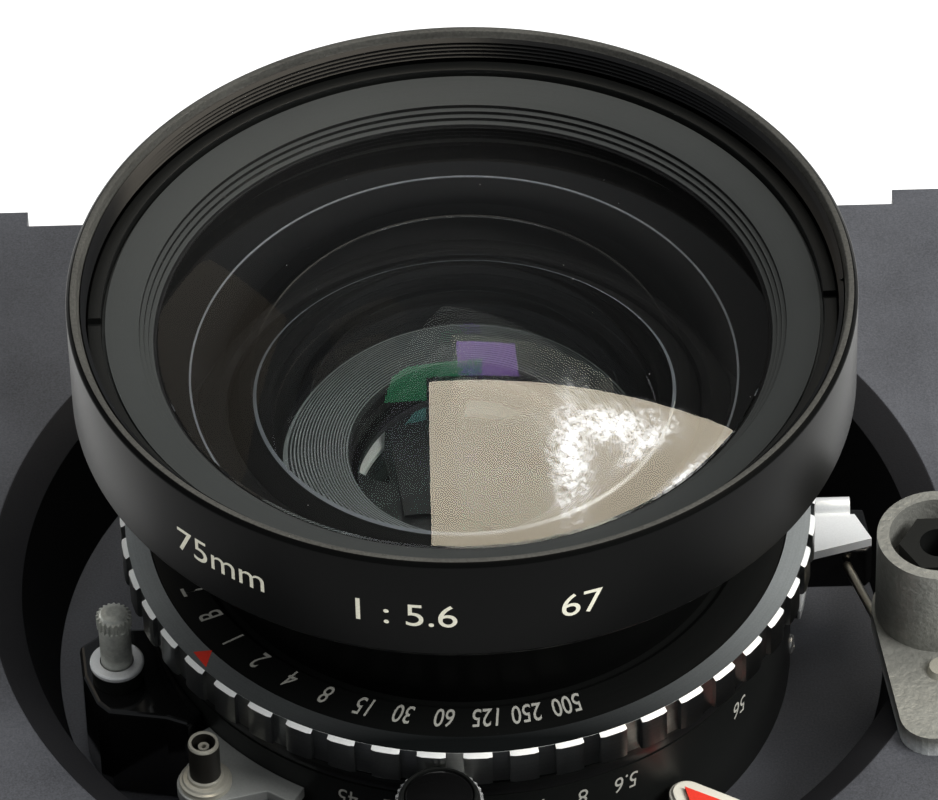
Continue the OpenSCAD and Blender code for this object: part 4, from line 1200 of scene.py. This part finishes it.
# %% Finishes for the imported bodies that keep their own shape
KEPT = {
    "jam_ring": PLATE_BLACK, "shutter_case": CASE_BLACK, "blade_plate": SATIN_STEEL,
    "front_deck": CASE_BLACK, "lever_spacer_lower": CASE_BLACK,
    "lever_spacer_upper": CASE_BLACK, "aperture_ring": BRUSHED,
    "aperture_pointer": IVORY_ENAMEL, "pointer_arrow": RED_ENAMEL,
    "blade_drive_ring": SATIN_STEEL, "cocking_lever": LEVER_PLATE, "release_lever": FLAG_PLATE,
    "release_pad": GLOSS_BLACK, "push_rod": ROD_STEEL, "preview_block": GLOSS_BLACK,
    "sync_plate": SATIN_STEEL, "sync_block": GLOSS_BLACK, "sync_insulator": SOCKET_BLACK,
    "sync_contact": TINNED, "rear_barrel": BARREL_BLACK, "rear_inner_ring": PLATE_BLACK,
    "rear_glass": REAR_GLASS, "rear_retaining_ring": PLATE_BLACK, "release_bracket": CAST_PAINTED_LIGHT_AND_SHADE,
    "release_bush": CASE_BLACK, "bracket_screws": TINNED,
}
ROUNDED = {"preview_block": 0.55, "sync_plate": 0.1, "sync_block": 0.25, "release_lever": 0.1,
           "release_pad": 0.2, "aperture_pointer": 0.3, "release_bracket": 0.3}
for i in range(1, 6):
    KEPT[f"iris_blade_{i}"] = BLADE_STEEL
    KEPT[f"shutter_blade_{i}"] = BLADE_STEEL
for name, material in KEPT.items():
    node = frame["nodes"][name]
    node.data.materials.clear()
    node.data.materials.append(material)
for name, width in ROUNDED.items():
    node = frame["nodes"][name]
    joined = node.modifiers.new("join", "WELD")
    joined.merge_threshold = 1e-6
    flat = node.modifiers.new("flat", "DECIMATE")
    flat.decimate_type = "DISSOLVE"
    flat.angle_limit = math.radians(0.5)
    edge = node.modifiers.new("edge", "BEVEL")
    edge.width = width * MM
    edge.segments = 3
    edge.limit_method = "ANGLE"
    edge.angle_limit = math.radians(40)
print("kept", len(KEPT), "rounded", len(ROUNDED))

# %% [markdown]
# ## Ground
# A plain pale sweep, level with the rim that the lens stands on.

# %% Floor
floor_mesh = bpy.data.meshes.new("floor")
floor_mesh.from_pydata([(-4, -4, 0), (4, -4, 0), (4, 4, 0), (-4, 4, 0)], [], [(0, 1, 2, 3)])
floor_mesh.materials.append(FLOOR_WHITE)
floor = add_object("floor", floor_mesh)
